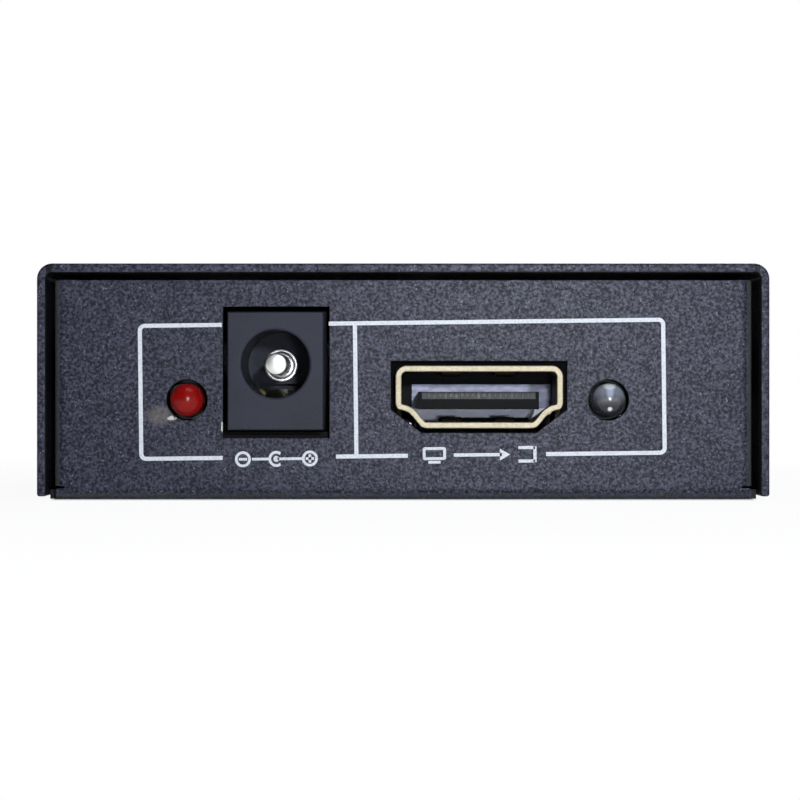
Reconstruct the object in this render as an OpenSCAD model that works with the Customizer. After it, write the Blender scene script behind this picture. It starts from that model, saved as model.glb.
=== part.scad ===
// One-in, two-out digital video splitter in a small folded steel case.
// X runs to the right as the input side is seen, Y runs to the output side and Z is up.
// The origin lies on the underside, below the middle of the case.

/* [Case] */
// Width of the case over the cover
case_w = 66; // [62:1:76]
// Depth of the cover from its front edge to its rear edge
case_d = 55; // [52:1:66]
// Height of the case from the underside to the top
case_h = 21.3; // [20.4:0.1:28]
// Thickness of the sheet steel
sheet_t = 0.85; // [0.6:0.05:0.9]
// Outer radius of the cover's folds
cover_bend_r = 1.4; // [1.1:0.1:2.4]
// Outer radius of the tray's folds
tray_bend_r = 1; // [0.95:0.05:1.6]
// Gap between the cover's sides and the tray's ears
side_gap = 0.52; // [0.5:0.01:1.2]
// Gap between the cover's top and the upper edges of the panels
top_gap = 0.6; // [0.3:0.05:1.2]
// Depth of each end panel behind the cover's edge
panel_recess = 1; // [0.5:0.1:2]
// Height of the cover's lower edges above the underside
cover_lift = 0.3; // [0:0.1:1]
// Length of the ears that fold back from the end panels
ear_l = 9.5; // [8:0.5:14]
// Slit that parts two folds where they meet at a corner
fold_relief = 0.2; // [0.2:0.05:1]

/* [Fasteners] */
// Thread diameter of the case and board screws
screw_d = 2.5; // [2:0.1:3]
// Clearance in diameter of a hole that a screw passes
screw_clear = 0.2; // [0.1:0.05:0.5]
// Clearance in diameter between a screw and its tapped hole
tap_clear = 0.04; // [0.02:0.01:0.1]
// Diameter of a case screw's countersunk head
sunk_head_d = 4.7; // [4.2:0.1:5.4]
// Clearance in diameter between a countersunk head and its dimple
sunk_clear = 0.06; // [0.02:0.02:0.2]
// Length of a case screw
case_screw_l = 4.5; // [3.5:0.5:6]
// Height of the case screws above the underside
case_screw_z = 12; // [10.5:0.5:14]
// Distance from a case screw to the end of its ear
ear_edge = 3.5; // [2.5:0.25:4.5]
// Steel left around the countersink of a dimple
dimple_wall = 0.5; // [0.3:0.1:0.8]
// Diameter of a board screw's pan head
pan_head_d = 4.4; // [4:0.1:5]
// Height of a board screw's pan head
pan_head_h = 1.5; // [1:0.1:2]
// Length of a board screw below its head
board_screw_l = 4.8; // [3:0.2:5]
// Width of the cross slots in the screw heads
cross_w = 0.6; // [0.4:0.05:0.8]
// Depth of the cross slots in the screw heads
cross_depth = 0.8; // [0.4:0.1:0.9]

/* [Circuit board] */
// Thickness of the circuit board
board_t = 1.6; // [1:0.1:2]
// Height of the standoffs from the floor to the board
standoff_h = 3.65; // [3:0.05:4.5]
// Diameter of a standoff's round body
standoff_d = 4.2; // [3.8:0.1:5]
// Width across flats of a standoff's hexagonal foot
standoff_af = 4.8; // [4.4:0.1:5.6]
// Clearance between a standoff's foot and the floor around it
standoff_fit = 0.02; // [0.01:0.01:0.05]
// Gap between the board's ends and the end panels
board_end_gap = 0.45; // [0.2:0.05:1]
// Gap between the board's sides and the ears
board_side_gap = 0.78; // [0.3:0.01:1.4]
// Distance from a standoff's axis to the board's side edge
standoff_side = 3.2; // [2.8:0.1:4]
// Distance from a standoff's axis to the board's end
standoff_end = 3.5; // [2.8:0.1:4.5]
// Clearance around a leg or blade in its board slot
slot_clear = 0.15; // [0.1:0.05:0.3]

/* [Video sockets] */
// Width of a socket's opening
mouth_w = 14; // [13:0.1:15]
// Height of a socket's opening
mouth_h = 4.55; // [4.3:0.05:5]
// Width of the slope at each lower corner of the opening
slope_w = 2.15; // [1.6:0.05:2.3]
// Height of the slope at each lower corner of the opening
slope_h = 1.6; // [1.2:0.1:2]
// Corner radius of the opening
mouth_r = 0.45; // [0.2:0.05:0.6]
// Thickness of a shell's sheet
shell_t = 0.4; // [0.25:0.05:0.45]
// Thickness of the rolled lip around a shell's mouth
lip_t = 0.55; // [0.5:0.05:0.8]
// Length of the rolled lip
lip_l = 0.6; // [0.4:0.1:0.8]
// Length of a shell from its mouth to its back
shell_l = 12; // [11:0.25:13]
// Height of the lip's underside above the board
socket_rise = 0.34; // [0.2:0.02:0.8]
// Gap between the lip and the edge of its panel cut-out
socket_clear = 0.42; // [0.2:0.02:0.5]
// Depth of the wall at the back of the opening
socket_depth = 7.6; // [6.5:0.1:8]
// Clearance between the insulator and its shell
insulator_fit = 0.05; // [0.02:0.01:0.1]
// Width of the tongue in the opening
tongue_w = 10.9; // [10.4:0.1:11.2]
// Thickness of the tongue
tongue_t = 1.6; // [1.4:0.05:1.8]
// Height of the tongue above the lower wall of the opening
tongue_lift = 1.15; // [1:0.05:1.3]
// Depth of the tongue's front behind the mouth
tongue_recess = 1.2; // [0.8:0.1:2]
// Number of contacts in a socket
contact_count = 19; // [15:2:19]
// Pitch of the contacts across the tongue
contact_pitch = 0.5; // [0.44:0.02:0.52]
// Width of a contact
contact_w = 0.28; // [0.2:0.02:0.34]
// Clearance around a contact in the insulator
contact_fit = 0.02; // [0.01:0.01:0.04]
// Length of a contact's solder tail behind the shell
tail_l = 1.3; // [0.8:0.1:1.6]
// Width of a shell's solder leg
leg_w = 1.2; // [0.8:0.1:1.6]
// Length that legs and blades stand out below the board
leg_out = 0.9; // [0.4:0.1:1.4]
// Width of a latch finger in the shell
finger_w = 1.7; // [1.2:0.1:2]
// Length of a latch finger
finger_l = 4.4; // [3:0.2:4.8]
// Place of the input socket across the front
input_x = 6.85; // [4:0.25:9]
// Place of the first output socket across the rear
output1_x = 14; // [12:0.5:15]
// Place of the second output socket across the rear
output2_x = -9.6; // [-12:0.4:-7]

/* [Power jack] */
// Width of the jack's front block
jack_w = 9; // [8.6:0.1:9.6]
// Height of the jack's front block
jack_h = 11; // [10.6:0.1:11.6]
// Length of the jack
jack_l = 14.2; // [13.4:0.2:15]
// Length of the jack's front block
jack_block_l = 3.5; // [2.8:0.1:4.4]
// Distance that the jack's face stands out from the panel
jack_proud = 1.3; // [0.5:0.1:1.8]
// Gap between the jack and its panel cut-out at the sides and above
jack_clear = 0.32; // [0.15:0.01:0.5]
// Gap between the jack and its panel cut-out below
jack_clear_below = 0.54; // [0.15:0.01:0.8]
// Place of the jack across the front
jack_x = -11.49; // [-13:0.25:-10]
// Diameter of the jack's bore
bore_d = 6.2; // [6.1:0.1:6.7]
// Depth of the jack's bore
bore_depth = 10; // [9.4:0.1:10.4]
// Height of the bore's axis above the board
bore_rise = 6.15; // [6:0.05:6.5]
// Width of the chamfer at the bore's mouth
bore_chamfer = 0.1; // [0.05:0.05:0.5]
// Diameter of the centre pin
pin_d = 2; // [1.6:0.1:2.2]
// Depth of the pin's tip behind the jack's face
pin_recess = 1; // [0.6:0.1:2]
// Width of the chamfer around the pin's tip
pin_chamfer = 0.2; // [0.1:0.05:0.4]
// Diameter of the collar at the pin's root
collar_d = 3.2; // [2.6:0.1:3.4]
// Thickness of the collar at the pin's root
collar_t = 0.4; // [0.3:0.05:0.8]
// Thickness of the jack's strip metal
strip_t = 0.3; // [0.2:0.05:0.4]
// Width of the jack's solder blades
blade_w = 2.5; // [2:0.1:2.8]
// Width of the sprung sleeve contact
leaf_w = 2.4; // [1.8:0.1:2.6]
// Distance that the sleeve contact stands into the bore
leaf_bump = 0.9; // [0.6:0.05:1.1]
// Clearance around the root of the sleeve contact
leaf_clear = 0.06; // [0.03:0.01:0.1]
// Gap between the sleeve contact's cheeks and the sides of their slot
cheek_gap = 0.44; // [0.2:0.02:0.6]
// Diameter of the pin at the root of the sleeve contact
knuckle_pin_d = 0.6; // [0.5:0.05:0.7]

/* [Indicator lamps] */
// Diameter of a lamp's lens
lamp_d = 3; // [2.6:0.1:3.3]
// Diameter of a lamp's hole in the panel
lamp_hole_d = 3.7; // [3.5:0.1:4.2]
// Length of a lamp's lens from tip to foot
lamp_l = 5.3; // [4.6:0.1:6]
// Diameter of the rim at the lens's foot
lamp_rim_d = 3.8; // [3.5:0.1:4.2]
// Thickness of the rim at the lens's foot
lamp_rim_t = 1; // [0.6:0.1:1.2]
// Distance that a lamp's tip stands out from the panel
lamp_proud = 1.8; // [1.2:0.1:2.2]
// Height of the lamps' axes above the board
lamp_rise = 2.9; // [2.6:0.1:4]
// Width of a lamp's square leads
lead_w = 0.5; // [0.4:0.05:0.6]
// Pitch of a lamp's two leads
lead_pitch = 2.54; // [2:0.02:2.6]
// Distance from a lens's foot to its bent leads
lead_bend = 1.5; // [1:0.1:2]
// Clearance around the leads inside a lens
lead_fit = 0.02; // [0.01:0.01:0.05]
// Place of the power lamp across the front
power_lamp_x = -19.55; // [-21:0.25:-18.5]
// Place of the input lamp across the front
input_lamp_x = 18.56; // [17:0.25:21]
// Distance from an output socket to its lamp
output_lamp_gap = 10.7; // [10.2:0.1:11.2]

/* [Board components] */
// Side of the splitter chip's body
chip_side = 10; // [7:0.5:12]
// Thickness of the splitter chip's body
chip_t = 1.4; // [1:0.1:2]
// Number of leads on each side of the splitter chip
chip_leads = 16; // [8:1:16]
// Pitch of the splitter chip's leads
chip_pitch = 0.5; // [0.38:0.02:0.56]
// Length of the memory chip's body
memory_l = 4.9; // [4.4:0.1:5.4]
// Width of the memory chip's body
memory_w = 3.9; // [3.4:0.1:4.4]
// Pitch of the leads on the memory chip
memory_pitch = 1.27; // [1:0.01:1.3]
// Length of the voltage regulator's body
regulator_l = 6.5; // [6:0.1:7]
// Width of the voltage regulator's body
regulator_w = 3.5; // [3:0.1:4]
// Thickness of the small chips' bodies
small_chip_t = 1.5; // [1:0.1:2]
// Height of the leads where they leave a chip
lead_level = 0.6; // [0.4:0.05:0.7]
// Thickness of the chips' leads
gull_t = 0.15; // [0.1:0.01:0.2]
// Reach of a chip's leads beyond its body
gull_reach = 1; // [0.7:0.1:1.4]
// Length of the crystal's can
crystal_l = 10.6; // [9:0.2:11.4]
// Width of the crystal's can
crystal_w = 3.9; // [3.4:0.1:4.4]
// Height of the crystal's can
crystal_h = 3.4; // [2.5:0.1:4]
// Width of the seam around the crystal's foot
crystal_seam = 0.4; // [0.2:0.05:0.6]
// Diameter of the capacitor cans
can_d = 5; // [4:0.2:6]
// Height of the capacitor cans
can_h = 5; // [4:0.2:7]
// Side of the plastic base below a capacitor can
can_base = 5.6; // [5.6:0.1:6.4]
// Thickness of the plastic base below a capacitor can
can_base_t = 0.8; // [0.5:0.1:1.2]
// Length of the small chip capacitors and resistors
chip_part_l = 1.6; // [1.2:0.1:2]
// Width of the small chip capacitors and resistors
chip_part_w = 0.8; // [0.5:0.1:1]
// Height of the small chip capacitors and resistors
chip_part_h = 0.6; // [0.4:0.05:0.9]
// Length of the metal caps on their ends
end_cap_l = 0.35; // [0.2:0.05:0.4]
// Length of the surge arrays behind the sockets
surge_l = 4.1; // [3:0.1:5]
// Width of the surge arrays behind the sockets
surge_w = 1.6; // [1:0.1:2]
// Height of the surge arrays behind the sockets
surge_h = 0.7; // [0.5:0.05:1]
// Length of the input diode's body
diode_l = 4.4; // [4:0.1:5]
// Width of the input diode's body
diode_w = 2.6; // [2:0.1:3]
// Height of the input diode's body
diode_h = 2.2; // [1.8:0.1:2.6]

/* [Hidden] */
$fn = 48;

steel_black = [0.2, 0.2, 0.23];
plastic_black = [0.12, 0.12, 0.14];
board_green = [0.05, 0.3, 0.16];
shell_gold = [0.86, 0.8, 0.6];
bright_metal = [0.82, 0.82, 0.84];
contact_gold = [0.85, 0.68, 0.3];
lens_red = [0.7, 0.08, 0.07];
lens_clear = [0.85, 0.88, 0.92];
chip_black = [0.08, 0.08, 0.09];

// A small overlap that lets a cut run clear through a face
past = 0.1;

// Case
half_w = case_w / 2;
half_d = case_d / 2;
tray_half = half_w - sheet_t - side_gap;
ear_in = tray_half - sheet_t;
ear_z = tray_bend_r + fold_relief;
panel_y = half_d - panel_recess;
panel_in = panel_y - sheet_t;
panel_top = case_h - sheet_t - top_gap;

// Fasteners
screw_r = screw_d / 2;
passing_r = (screw_d + screw_clear) / 2;
tapped_r = (screw_d + tap_clear) / 2;
sunk_r = sunk_head_d / 2;
case_screw_y = panel_y - ear_l + ear_edge;
dimple_h = sheet_t + side_gap;

// Circuit board
board_bottom = sheet_t + standoff_h;
board_top = board_bottom + board_t;
board_half_w = ear_in - board_side_gap;
board_half_d = panel_in - board_end_gap;
standoff_x = board_half_w - standoff_side;
standoff_y = board_half_d - standoff_end;
below_board = board_t + leg_out;

// Video sockets, measured from the middle of the mouth at the height of the board
mouth_z = socket_rise + lip_t;
tongue_bottom = mouth_z + tongue_lift;
tongue_top = tongue_bottom + tongue_t;
flat_w = mouth_w - 2 * slope_w;
foot_w = flat_w - 4 * insulator_fit;
foot_y = socket_depth + shell_t;
contact_t = 0.25;
blade_h = tongue_t * 0.3;
drop_room = contact_t + 4 * insulator_fit;
insulator_back = shell_l - shell_t - 2 * drop_room;
drop_y = insulator_back + insulator_fit;
tip_y = tongue_recess + 0.35;
groove_top = tongue_top - 0.14;
tail_y = shell_l + tail_l;
leg_y = [3.4, 9.4];
leg_x = (mouth_w + shell_t) / 2;
finger_y = 2;
finger_slit = 0.25;
finger_x = flat_w / 4;
finger_dent = 0.25;
mouth_points = [
    [-flat_w / 2, 0], [flat_w / 2, 0], [mouth_w / 2, slope_h],
    [mouth_w / 2, mouth_h], [-mouth_w / 2, mouth_h], [-mouth_w / 2, slope_h]
];

// Power jack, measured from the middle of its face at the height of the board
jack_y = -(panel_y + jack_proud);
bore_r = bore_d / 2;
pin_r = pin_d / 2;
stem_r = pin_r * 0.8;
rear_wall = 1.5;
rear_y = bore_depth + rear_wall;
floor_t = 0.7;
clevis_w = leaf_w + 2 * (strip_t + leaf_clear);
leaf_slot_w = clevis_w + 2 * cheek_gap;
knuckle_r = knuckle_pin_d / 2;
blade_top = bore_rise + collar_d / 2;
knuckle_rise = 1.5;
knuckle_y = jack_block_l + knuckle_rise;
knuckle_z = floor_t + knuckle_rise;
leaf_reach = 3.6;
bump_y = knuckle_y + leaf_reach;
bump_z = bore_rise - bore_r + leaf_bump - strip_t / 2;
leaf_end_y = bore_depth + 0.6;
leaf_end_z = bump_z - 0.9;
leaf_flat_l = 1.3;
leaf_flat_y = leaf_end_y - leaf_flat_l;
leaf_points = [[bump_y, bump_z], [leaf_flat_y, leaf_end_z], [leaf_end_y, leaf_end_z]];
leaf_slot_y = [jack_block_l + 0.6, leaf_end_y + 0.4];
window_top = bump_z + 0.6;
sleeve_blade_y = knuckle_y + 2.6;
pin_blade_y = rear_y + strip_t / 2;
switch_w = 1;
switch_y = leaf_end_y - 0.4;
switch_x = -(jack_w / 2 - 0.6);
switch_z = leaf_end_z + strip_t + 0.05;
switch_top = switch_z + 0.55;
switch_points = [
    [0, switch_z], [0.25 * leaf_w - clevis_w / 2 - strip_t, switch_z],
    [-clevis_w / 2 - strip_t, switch_top], [switch_x, switch_top]
];

// Lamps, measured from the tip at the height of the board
lamp_r = lamp_d / 2;
lamp_y = panel_y + lamp_proud;
lead_x = lead_pitch / 2;
lead_y = lamp_l + lead_bend;
post_y = lamp_r + 1.1;
cup_l = 1.3;
cup_w = 0.9;
output_lamps = [output1_x - output_lamp_gap, output2_x - output_lamp_gap];

// Places of the components on the board
memory_in = 13;
regulator_in = 10;
crystal_in = 12;
can_in = 6;
can_pitch = 8;
cap_pitch = 3;
cap_gap = 1.5;
resistor_pitch = 2;
resistor_gap = 3;
chip_at = [2.5, 0.5];
memory_at = [board_half_w - memory_in, 4.5];
regulator_at = [regulator_in - board_half_w, -6.5];
crystal_at = [board_half_w - crystal_in, -6.5];
diode_at = [-10.5, -8];
can_places = [for (i = [0, 1]) [can_in - board_half_w, 2 + i * can_pitch]];
chip_out = chip_side / 2 + gull_reach;
memory_out = memory_w / 2 + gull_reach;
regulator_out = regulator_w / 2 + gull_reach;
capacitor_places = concat(
    [for (i = [-1:1], s = [-1, 1]) chip_at + [i * cap_pitch, s * (chip_out + cap_gap)]],
    [for (s = [-1, 1]) regulator_at + [s * cap_pitch, regulator_out + cap_gap + 0.5]],
    [for (s = [-1, 1]) crystal_at + [s * (cap_pitch - 0.4), crystal_w / 2 + cap_gap + 0.3]]
);
resistor_places = concat(
    [for (i = [-2:2]) chip_at + [-(chip_out + resistor_gap), i * resistor_pitch]],
    [for (i = [-1:1]) memory_at + [memory_out + resistor_gap, i * resistor_pitch]]
);

// A box between two opposite corners
module block(low, high) {
    translate(low) cube(high - low);
}

// A box of width w about the middle, between two depths and two heights
module bar(w, y, z) {
    block([-w / 2, y[0], z[0]], [w / 2, y[1], z[1]]);
}

// A flat shape in X and Z, drawn out from y0 to y1
module run_y(y0, y1) {
    translate([0, y1, 0]) rotate([90, 0, 0]) linear_extrude(y1 - y0) children();
}

// A flat shape in Y and Z, drawn out from x0 to x1
module run_x(x0, x1) {
    translate([x0, 0, 0]) rotate([90, 0, 90]) linear_extrude(x1 - x0) children();
}

// A round bar along Y from y0 to y1, with a radius at each end
module round_y(y0, y1, r0, r1) {
    translate([0, y0, 0]) rotate([-90, 0, 0]) cylinder(h = y1 - y0, r1 = r0, r2 = r1);
}

// The unit normal on the inner side of an edge whose outline runs counter-clockwise
function inward(p, q) = [p[1] - q[1], q[0] - p[0]] / norm(q - p);

// An outline's corners with every edge moved inward by d, or outward where d is below zero
function moved_in(points, d) = [
    for (i = [0:len(points) - 1])
        let (
            n = len(points),
            u = inward(points[(i + n - 1) % n], points[i]),
            v = inward(points[i], points[(i + 1) % n])
        )
        points[i] + d * (u + v) / (1 + u * v)
];

// An outline with its corners rounded to radius r
module rounded(points, r) {
    n = len(points);
    centres = moved_in(points, r);
    polygon([
        for (i = [0:n - 1], side = [n - 1, 0])
            centres[i] - r * inward(points[(i + side) % n], points[(i + side + 1) % n])
    ]);
    for (c = centres) translate(c) circle(r);
}

// A strip of thickness t through a row of points, with round bends and round ends
module strip(points, t) {
    for (i = [0:len(points) - 2]) {
        step = points[i + 1] - points[i];
        translate(points[i])
            rotate(atan2(step[1], step[0]))
            translate([0, -t / 2])
            square([norm(step), t]);
    }
    for (p = points) translate(p) circle(t / 2);
}

// The four corners of the case
module at_corners(x, y, z) {
    for (sx = [-1, 1], sy = [-1, 1]) translate([sx * x, sy * y, z]) children();
}

// The case screws' places on the cover's sides, with +Z pointing into the case
module at_case_screws() {
    for (sx = [-1, 1], sy = [-1, 1])
        translate([sx * half_w, sy * case_screw_y, case_screw_z])
        rotate([0, -90 * sx, 0])
        children();
}

// A socket's place, with its mouth level with the cover's edge
module at_front(x) {
    translate([x, -half_d, board_top]) children();
}

module at_rear(x) {
    translate([x, half_d, board_top]) rotate([0, 0, 180]) children();
}

module at_jack() {
    translate([jack_x, jack_y, board_top]) children();
}

module at_front_lamp(x) {
    translate([x, -lamp_y, board_top]) children();
}

module at_rear_lamp(x) {
    translate([x, lamp_y, board_top]) rotate([0, 0, 180]) children();
}

module at_sockets() {
    at_front(input_x) children();
    at_rear(output1_x) children();
    at_rear(output2_x) children();
}

module at_lamps() {
    at_front_lamp(power_lamp_x) children();
    at_front_lamp(input_lamp_x) children();
    for (x = output_lamps) at_rear_lamp(x) children();
}

// A component's place on the board
module on_board(place) {
    translate([place[0], place[1], board_top]) children();
}

// Upright shape with its two lower corners rounded
module round_foot(half, top, r) {
    translate([-half, r]) square([2 * half, top - r]);
    translate([-half + r, 0]) square([2 * (half - r), top]);
    for (s = [-1, 1]) translate([s * (half - r), r]) circle(r);
}

// Section through the tray along the case: floor and both end panels
module tray_section() {
    difference() {
        round_foot(panel_y, panel_top, tray_bend_r);
        translate([0, sheet_t]) round_foot(panel_in, panel_top, tray_bend_r - sheet_t);
    }
}

// The ear that folds back from the end of a panel, at the corner with positive X and Y
module corner_ear() {
    fold = [tray_half - tray_bend_r, panel_y - tray_bend_r];
    translate([0, 0, ear_z]) linear_extrude(panel_top - ear_z) {
        intersection() {
            difference() {
                translate(fold) circle(tray_bend_r);
                translate(fold) circle(tray_bend_r - sheet_t);
            }
            translate(fold) square(tray_bend_r);
        }
        translate([ear_in, panel_y - ear_l]) square([sheet_t, ear_l - tray_bend_r]);
    }
}

// What the panels are cut out for: sockets, jack and lamps
module panel_cuts() {
    through = max(panel_recess, jack_proud, lamp_proud) + panel_recess + sheet_t + past;
    at_sockets() translate([0, 0, mouth_z])
        run_y(-past, panel_recess + sheet_t + past)
        polygon(moved_in(mouth_points, -lip_t - socket_clear));
    at_jack() bar(jack_w + 2 * jack_clear, [-past, through], [-jack_clear_below, jack_h + jack_clear]);
    at_lamps() translate([0, 0, lamp_rise]) round_y(-past, through, lamp_hole_d / 2, lamp_hole_d / 2);
}

module chassis_tray() {
    fold_x = tray_half - tray_bend_r;
    lower_x = tray_half - fold_relief;
    floor_y = panel_y - tray_bend_r - fold_relief;
    color(steel_black) difference() {
        union() {
            run_x(-fold_x, fold_x) tray_section();
            run_x(-lower_x, lower_x) intersection() {
                tray_section();
                translate([-panel_y, 0]) square([2 * panel_y, tray_bend_r]);
            }
            block([-tray_half, -floor_y, 0], [tray_half, floor_y, sheet_t]);
            for (mx = [0, 1], my = [0, 1]) mirror([mx, 0, 0]) mirror([0, my, 0]) corner_ear();
        }
        panel_cuts();
        at_corners(standoff_x, standoff_y, -past)
            cylinder(h = sheet_t + 2 * past, d = (standoff_af + 2 * standoff_fit) / cos(30), $fn = 6);
        at_case_screws() cylinder(h = dimple_h + sheet_t + past, r = tapped_r);
    }
}

// Section across the cover: top and both sides
module cover_section() {
    translate([0, case_h]) mirror([0, 1]) difference() {
        round_foot(half_w, case_h - cover_lift, cover_bend_r);
        translate([0, sheet_t]) round_foot(half_w - sheet_t, case_h, cover_bend_r - sheet_t);
    }
}

module top_cover() {
    color(steel_black) difference() {
        union() {
            run_y(-half_d, half_d) cover_section();
            at_case_screws() translate([0, 0, sheet_t / 2])
                cylinder(
                    h = dimple_h - sheet_t / 2, r1 = sunk_r + dimple_wall, r2 = passing_r + dimple_wall
                );
        }
        at_case_screws() {
            cylinder(h = sunk_r - passing_r, r1 = sunk_r, r2 = passing_r);
            translate([0, 0, -past]) cylinder(h = dimple_h + 2 * past, r = passing_r);
        }
    }
}

// The cross slots of a screw head whose top is at zero and whose shank points along +Z
module cross_slots(length) {
    for (turn = [0, 90])
        rotate(turn)
        translate([-length / 2, -cross_w / 2, -past])
        cube([length, cross_w, cross_depth + past]);
}

module case_screws() {
    head_r = sunk_r - sunk_clear / 2;
    color(bright_metal) at_case_screws() difference() {
        union() {
            cylinder(h = head_r - screw_r, r1 = head_r, r2 = screw_r);
            cylinder(h = case_screw_l, r = screw_r);
        }
        cross_slots(head_r * 1.1);
    }
}

module board_standoffs() {
    color(bright_metal) at_corners(standoff_x, standoff_y, 0) difference() {
        union() {
            cylinder(h = sheet_t, d = standoff_af / cos(30), $fn = 6);
            cylinder(h = board_bottom, d = standoff_d);
        }
        translate([0, 0, -past]) cylinder(h = board_bottom + 2 * past, r = tapped_r);
    }
}

module board_screws() {
    color(bright_metal) at_corners(standoff_x, standoff_y, board_top + pan_head_h)
        rotate([180, 0, 0])
        difference() {
            union() {
                cylinder(h = pan_head_h, d = pan_head_d);
                cylinder(h = pan_head_h + board_screw_l, r = screw_r);
            }
            cross_slots(pan_head_d * 0.6);
        }
}

// Holes and slots in the board for everything that is soldered through it
module board_holes() {
    down = [-board_t - past, past];
    at_corners(standoff_x, standoff_y, board_bottom - past) cylinder(h = board_t + 2 * past, r = passing_r);
    at_sockets() for (s = [-1, 1], y = leg_y)
        translate([s * leg_x, y, 0])
        bar(shell_t + 2 * slot_clear, leg_w * [-0.5, 0.5] + slot_clear * [-1, 1], down);
    at_jack() {
        across = strip_t * [-0.5, 0.5] + slot_clear * [-1, 1];
        translate([0, sleeve_blade_y, 0]) bar(blade_w + 2 * slot_clear, across, down);
        translate([0, pin_blade_y, 0]) bar(blade_w + 2 * slot_clear, across, down);
        translate([switch_x, switch_y, 0])
            bar(strip_t + 2 * slot_clear, switch_w * [-0.5, 0.5] + slot_clear * [-1, 1], down);
    }
    at_lamps() for (s = [-1, 1])
        translate([s * lead_x, lead_y, down[0]])
        cylinder(h = board_t + 2 * past, d = lead_w * sqrt(2) + slot_clear);
}

module circuit_board() {
    color(board_green) difference() {
        bar(2 * board_half_w, board_half_d * [-1, 1], [board_bottom, board_top]);
        board_holes();
    }
}

// Slits around a latch finger in the top or the bottom wall of a shell
module finger_slits() {
    outer = finger_w + 2 * finger_slit;
    difference() {
        bar(outer, [finger_y, finger_y + finger_l], shell_t * [-1, 1] + past * [-1, 1]);
        bar(finger_w, [finger_y + finger_slit, finger_y + finger_l + past], shell_t * [-2, 2]);
    }
}

// The dent of a latch finger, pressed into the opening
module finger_dent(wall_z) {
    dent_r = finger_dent + shell_t;
    translate([0, finger_y + finger_slit + dent_r, wall_z])
        run_x(-finger_w / 2, finger_w / 2)
        intersection() {
            circle(dent_r);
            translate([-dent_r, -dent_r]) square([2 * dent_r, dent_r]);
        }
}

// The pressed metal shell of a socket, with its rolled lip, latch fingers and four solder legs
module socket_shell() {
    outer = moved_in(mouth_points, -shell_t);
    lip = moved_in(mouth_points, -lip_t);
    back_z = mouth_z + tongue_lift;
    leg_z = mouth_z + slope_h + shell_t;
    difference() {
        union() {
            translate([0, 0, mouth_z]) {
                run_y(0, lip_l) rounded(lip, mouth_r + lip_t);
                run_y(0, shell_l) rounded(outer, mouth_r + shell_t);
            }
            for (s = [-1, 1], y = leg_y)
                translate([s * leg_x, y, 0])
                bar(shell_t, leg_w * [-0.5, 0.5], [-below_board, leg_z]);
        }
        translate([0, 0, mouth_z]) run_y(-past, shell_l - shell_t) rounded(mouth_points, mouth_r);
        bar(flat_w, [foot_y - insulator_fit, shell_l + past], [-past, mouth_z + past]);
        bar(flat_w, [insulator_back, shell_l + past], [-past, back_z]);
        for (s = [-1, 1]) {
            translate([s * finger_x, 0, mouth_z + mouth_h + shell_t / 2]) finger_slits();
            translate([s * finger_x, 0, mouth_z - shell_t / 2]) finger_slits();
        }
    }
    for (s = [-1, 1]) translate([s * finger_x, 0, 0]) {
        finger_dent(mouth_z + mouth_h + shell_t / 2);
        translate([0, 0, mouth_z - shell_t / 2]) mirror([0, 0, 1]) finger_dent(0);
    }
}

// The side view of one contact: an odd one on top of the tongue or an even one below it
module contact_side(even, fit) {
    run_z = even ? tongue_bottom + blade_h / 2 : tongue_top - blade_h / 2;
    rows = [
        [[tip_y, run_z - blade_h / 2], [drop_y + contact_t, run_z + blade_h / 2]],
        [[tip_y, even ? tongue_bottom : run_z], [tip_y + contact_t, groove_top]],
        [[drop_y, 0], [drop_y + contact_t, run_z + blade_h / 2]],
        [[drop_y, 0], [tail_y, contact_t]]
    ];
    for (row = rows)
        translate(row[0] - fit * [1, 1])
        square(row[1] - row[0] + 2 * fit * [1, 1]);
}

module contact_row(fit) {
    middle = (contact_count - 1) / 2;
    for (i = [0:contact_count - 1])
        translate([(i - middle) * contact_pitch, 0, 0])
        run_x(-contact_w / 2 - fit, contact_w / 2 + fit)
        contact_side(i % 2 == 1, fit);
}

// The moulded insulator of a socket: back block, foot on the board and tongue
module socket_insulator() {
    difference() {
        union() {
            translate([0, 0, mouth_z])
                run_y(socket_depth, insulator_back)
                rounded(moved_in(mouth_points, insulator_fit), mouth_r - insulator_fit);
            bar(foot_w, [foot_y, insulator_back], [0, tongue_bottom]);
            bar(tongue_w, [tongue_recess, socket_depth + past], [tongue_bottom, tongue_top]);
        }
        bar(tongue_w - 0.5, [tongue_recess - past, tip_y], [groove_top - blade_h, groove_top]);
        contact_row(contact_fit);
    }
}

module input_socket_shell() {
    color(shell_gold) at_front(input_x) socket_shell();
}

module input_socket_insulator() {
    color(plastic_black) at_front(input_x) socket_insulator();
}

module input_socket_contacts() {
    color(contact_gold) at_front(input_x) contact_row(0);
}

module output1_socket_shell() {
    color(shell_gold) at_rear(output1_x) socket_shell();
}

module output1_socket_insulator() {
    color(plastic_black) at_rear(output1_x) socket_insulator();
}

module output1_socket_contacts() {
    color(contact_gold) at_rear(output1_x) contact_row(0);
}

module output2_socket_shell() {
    color(shell_gold) at_rear(output2_x) socket_shell();
}

module output2_socket_insulator() {
    color(plastic_black) at_rear(output2_x) socket_insulator();
}

module output2_socket_contacts() {
    color(contact_gold) at_rear(output2_x) contact_row(0);
}

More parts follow.
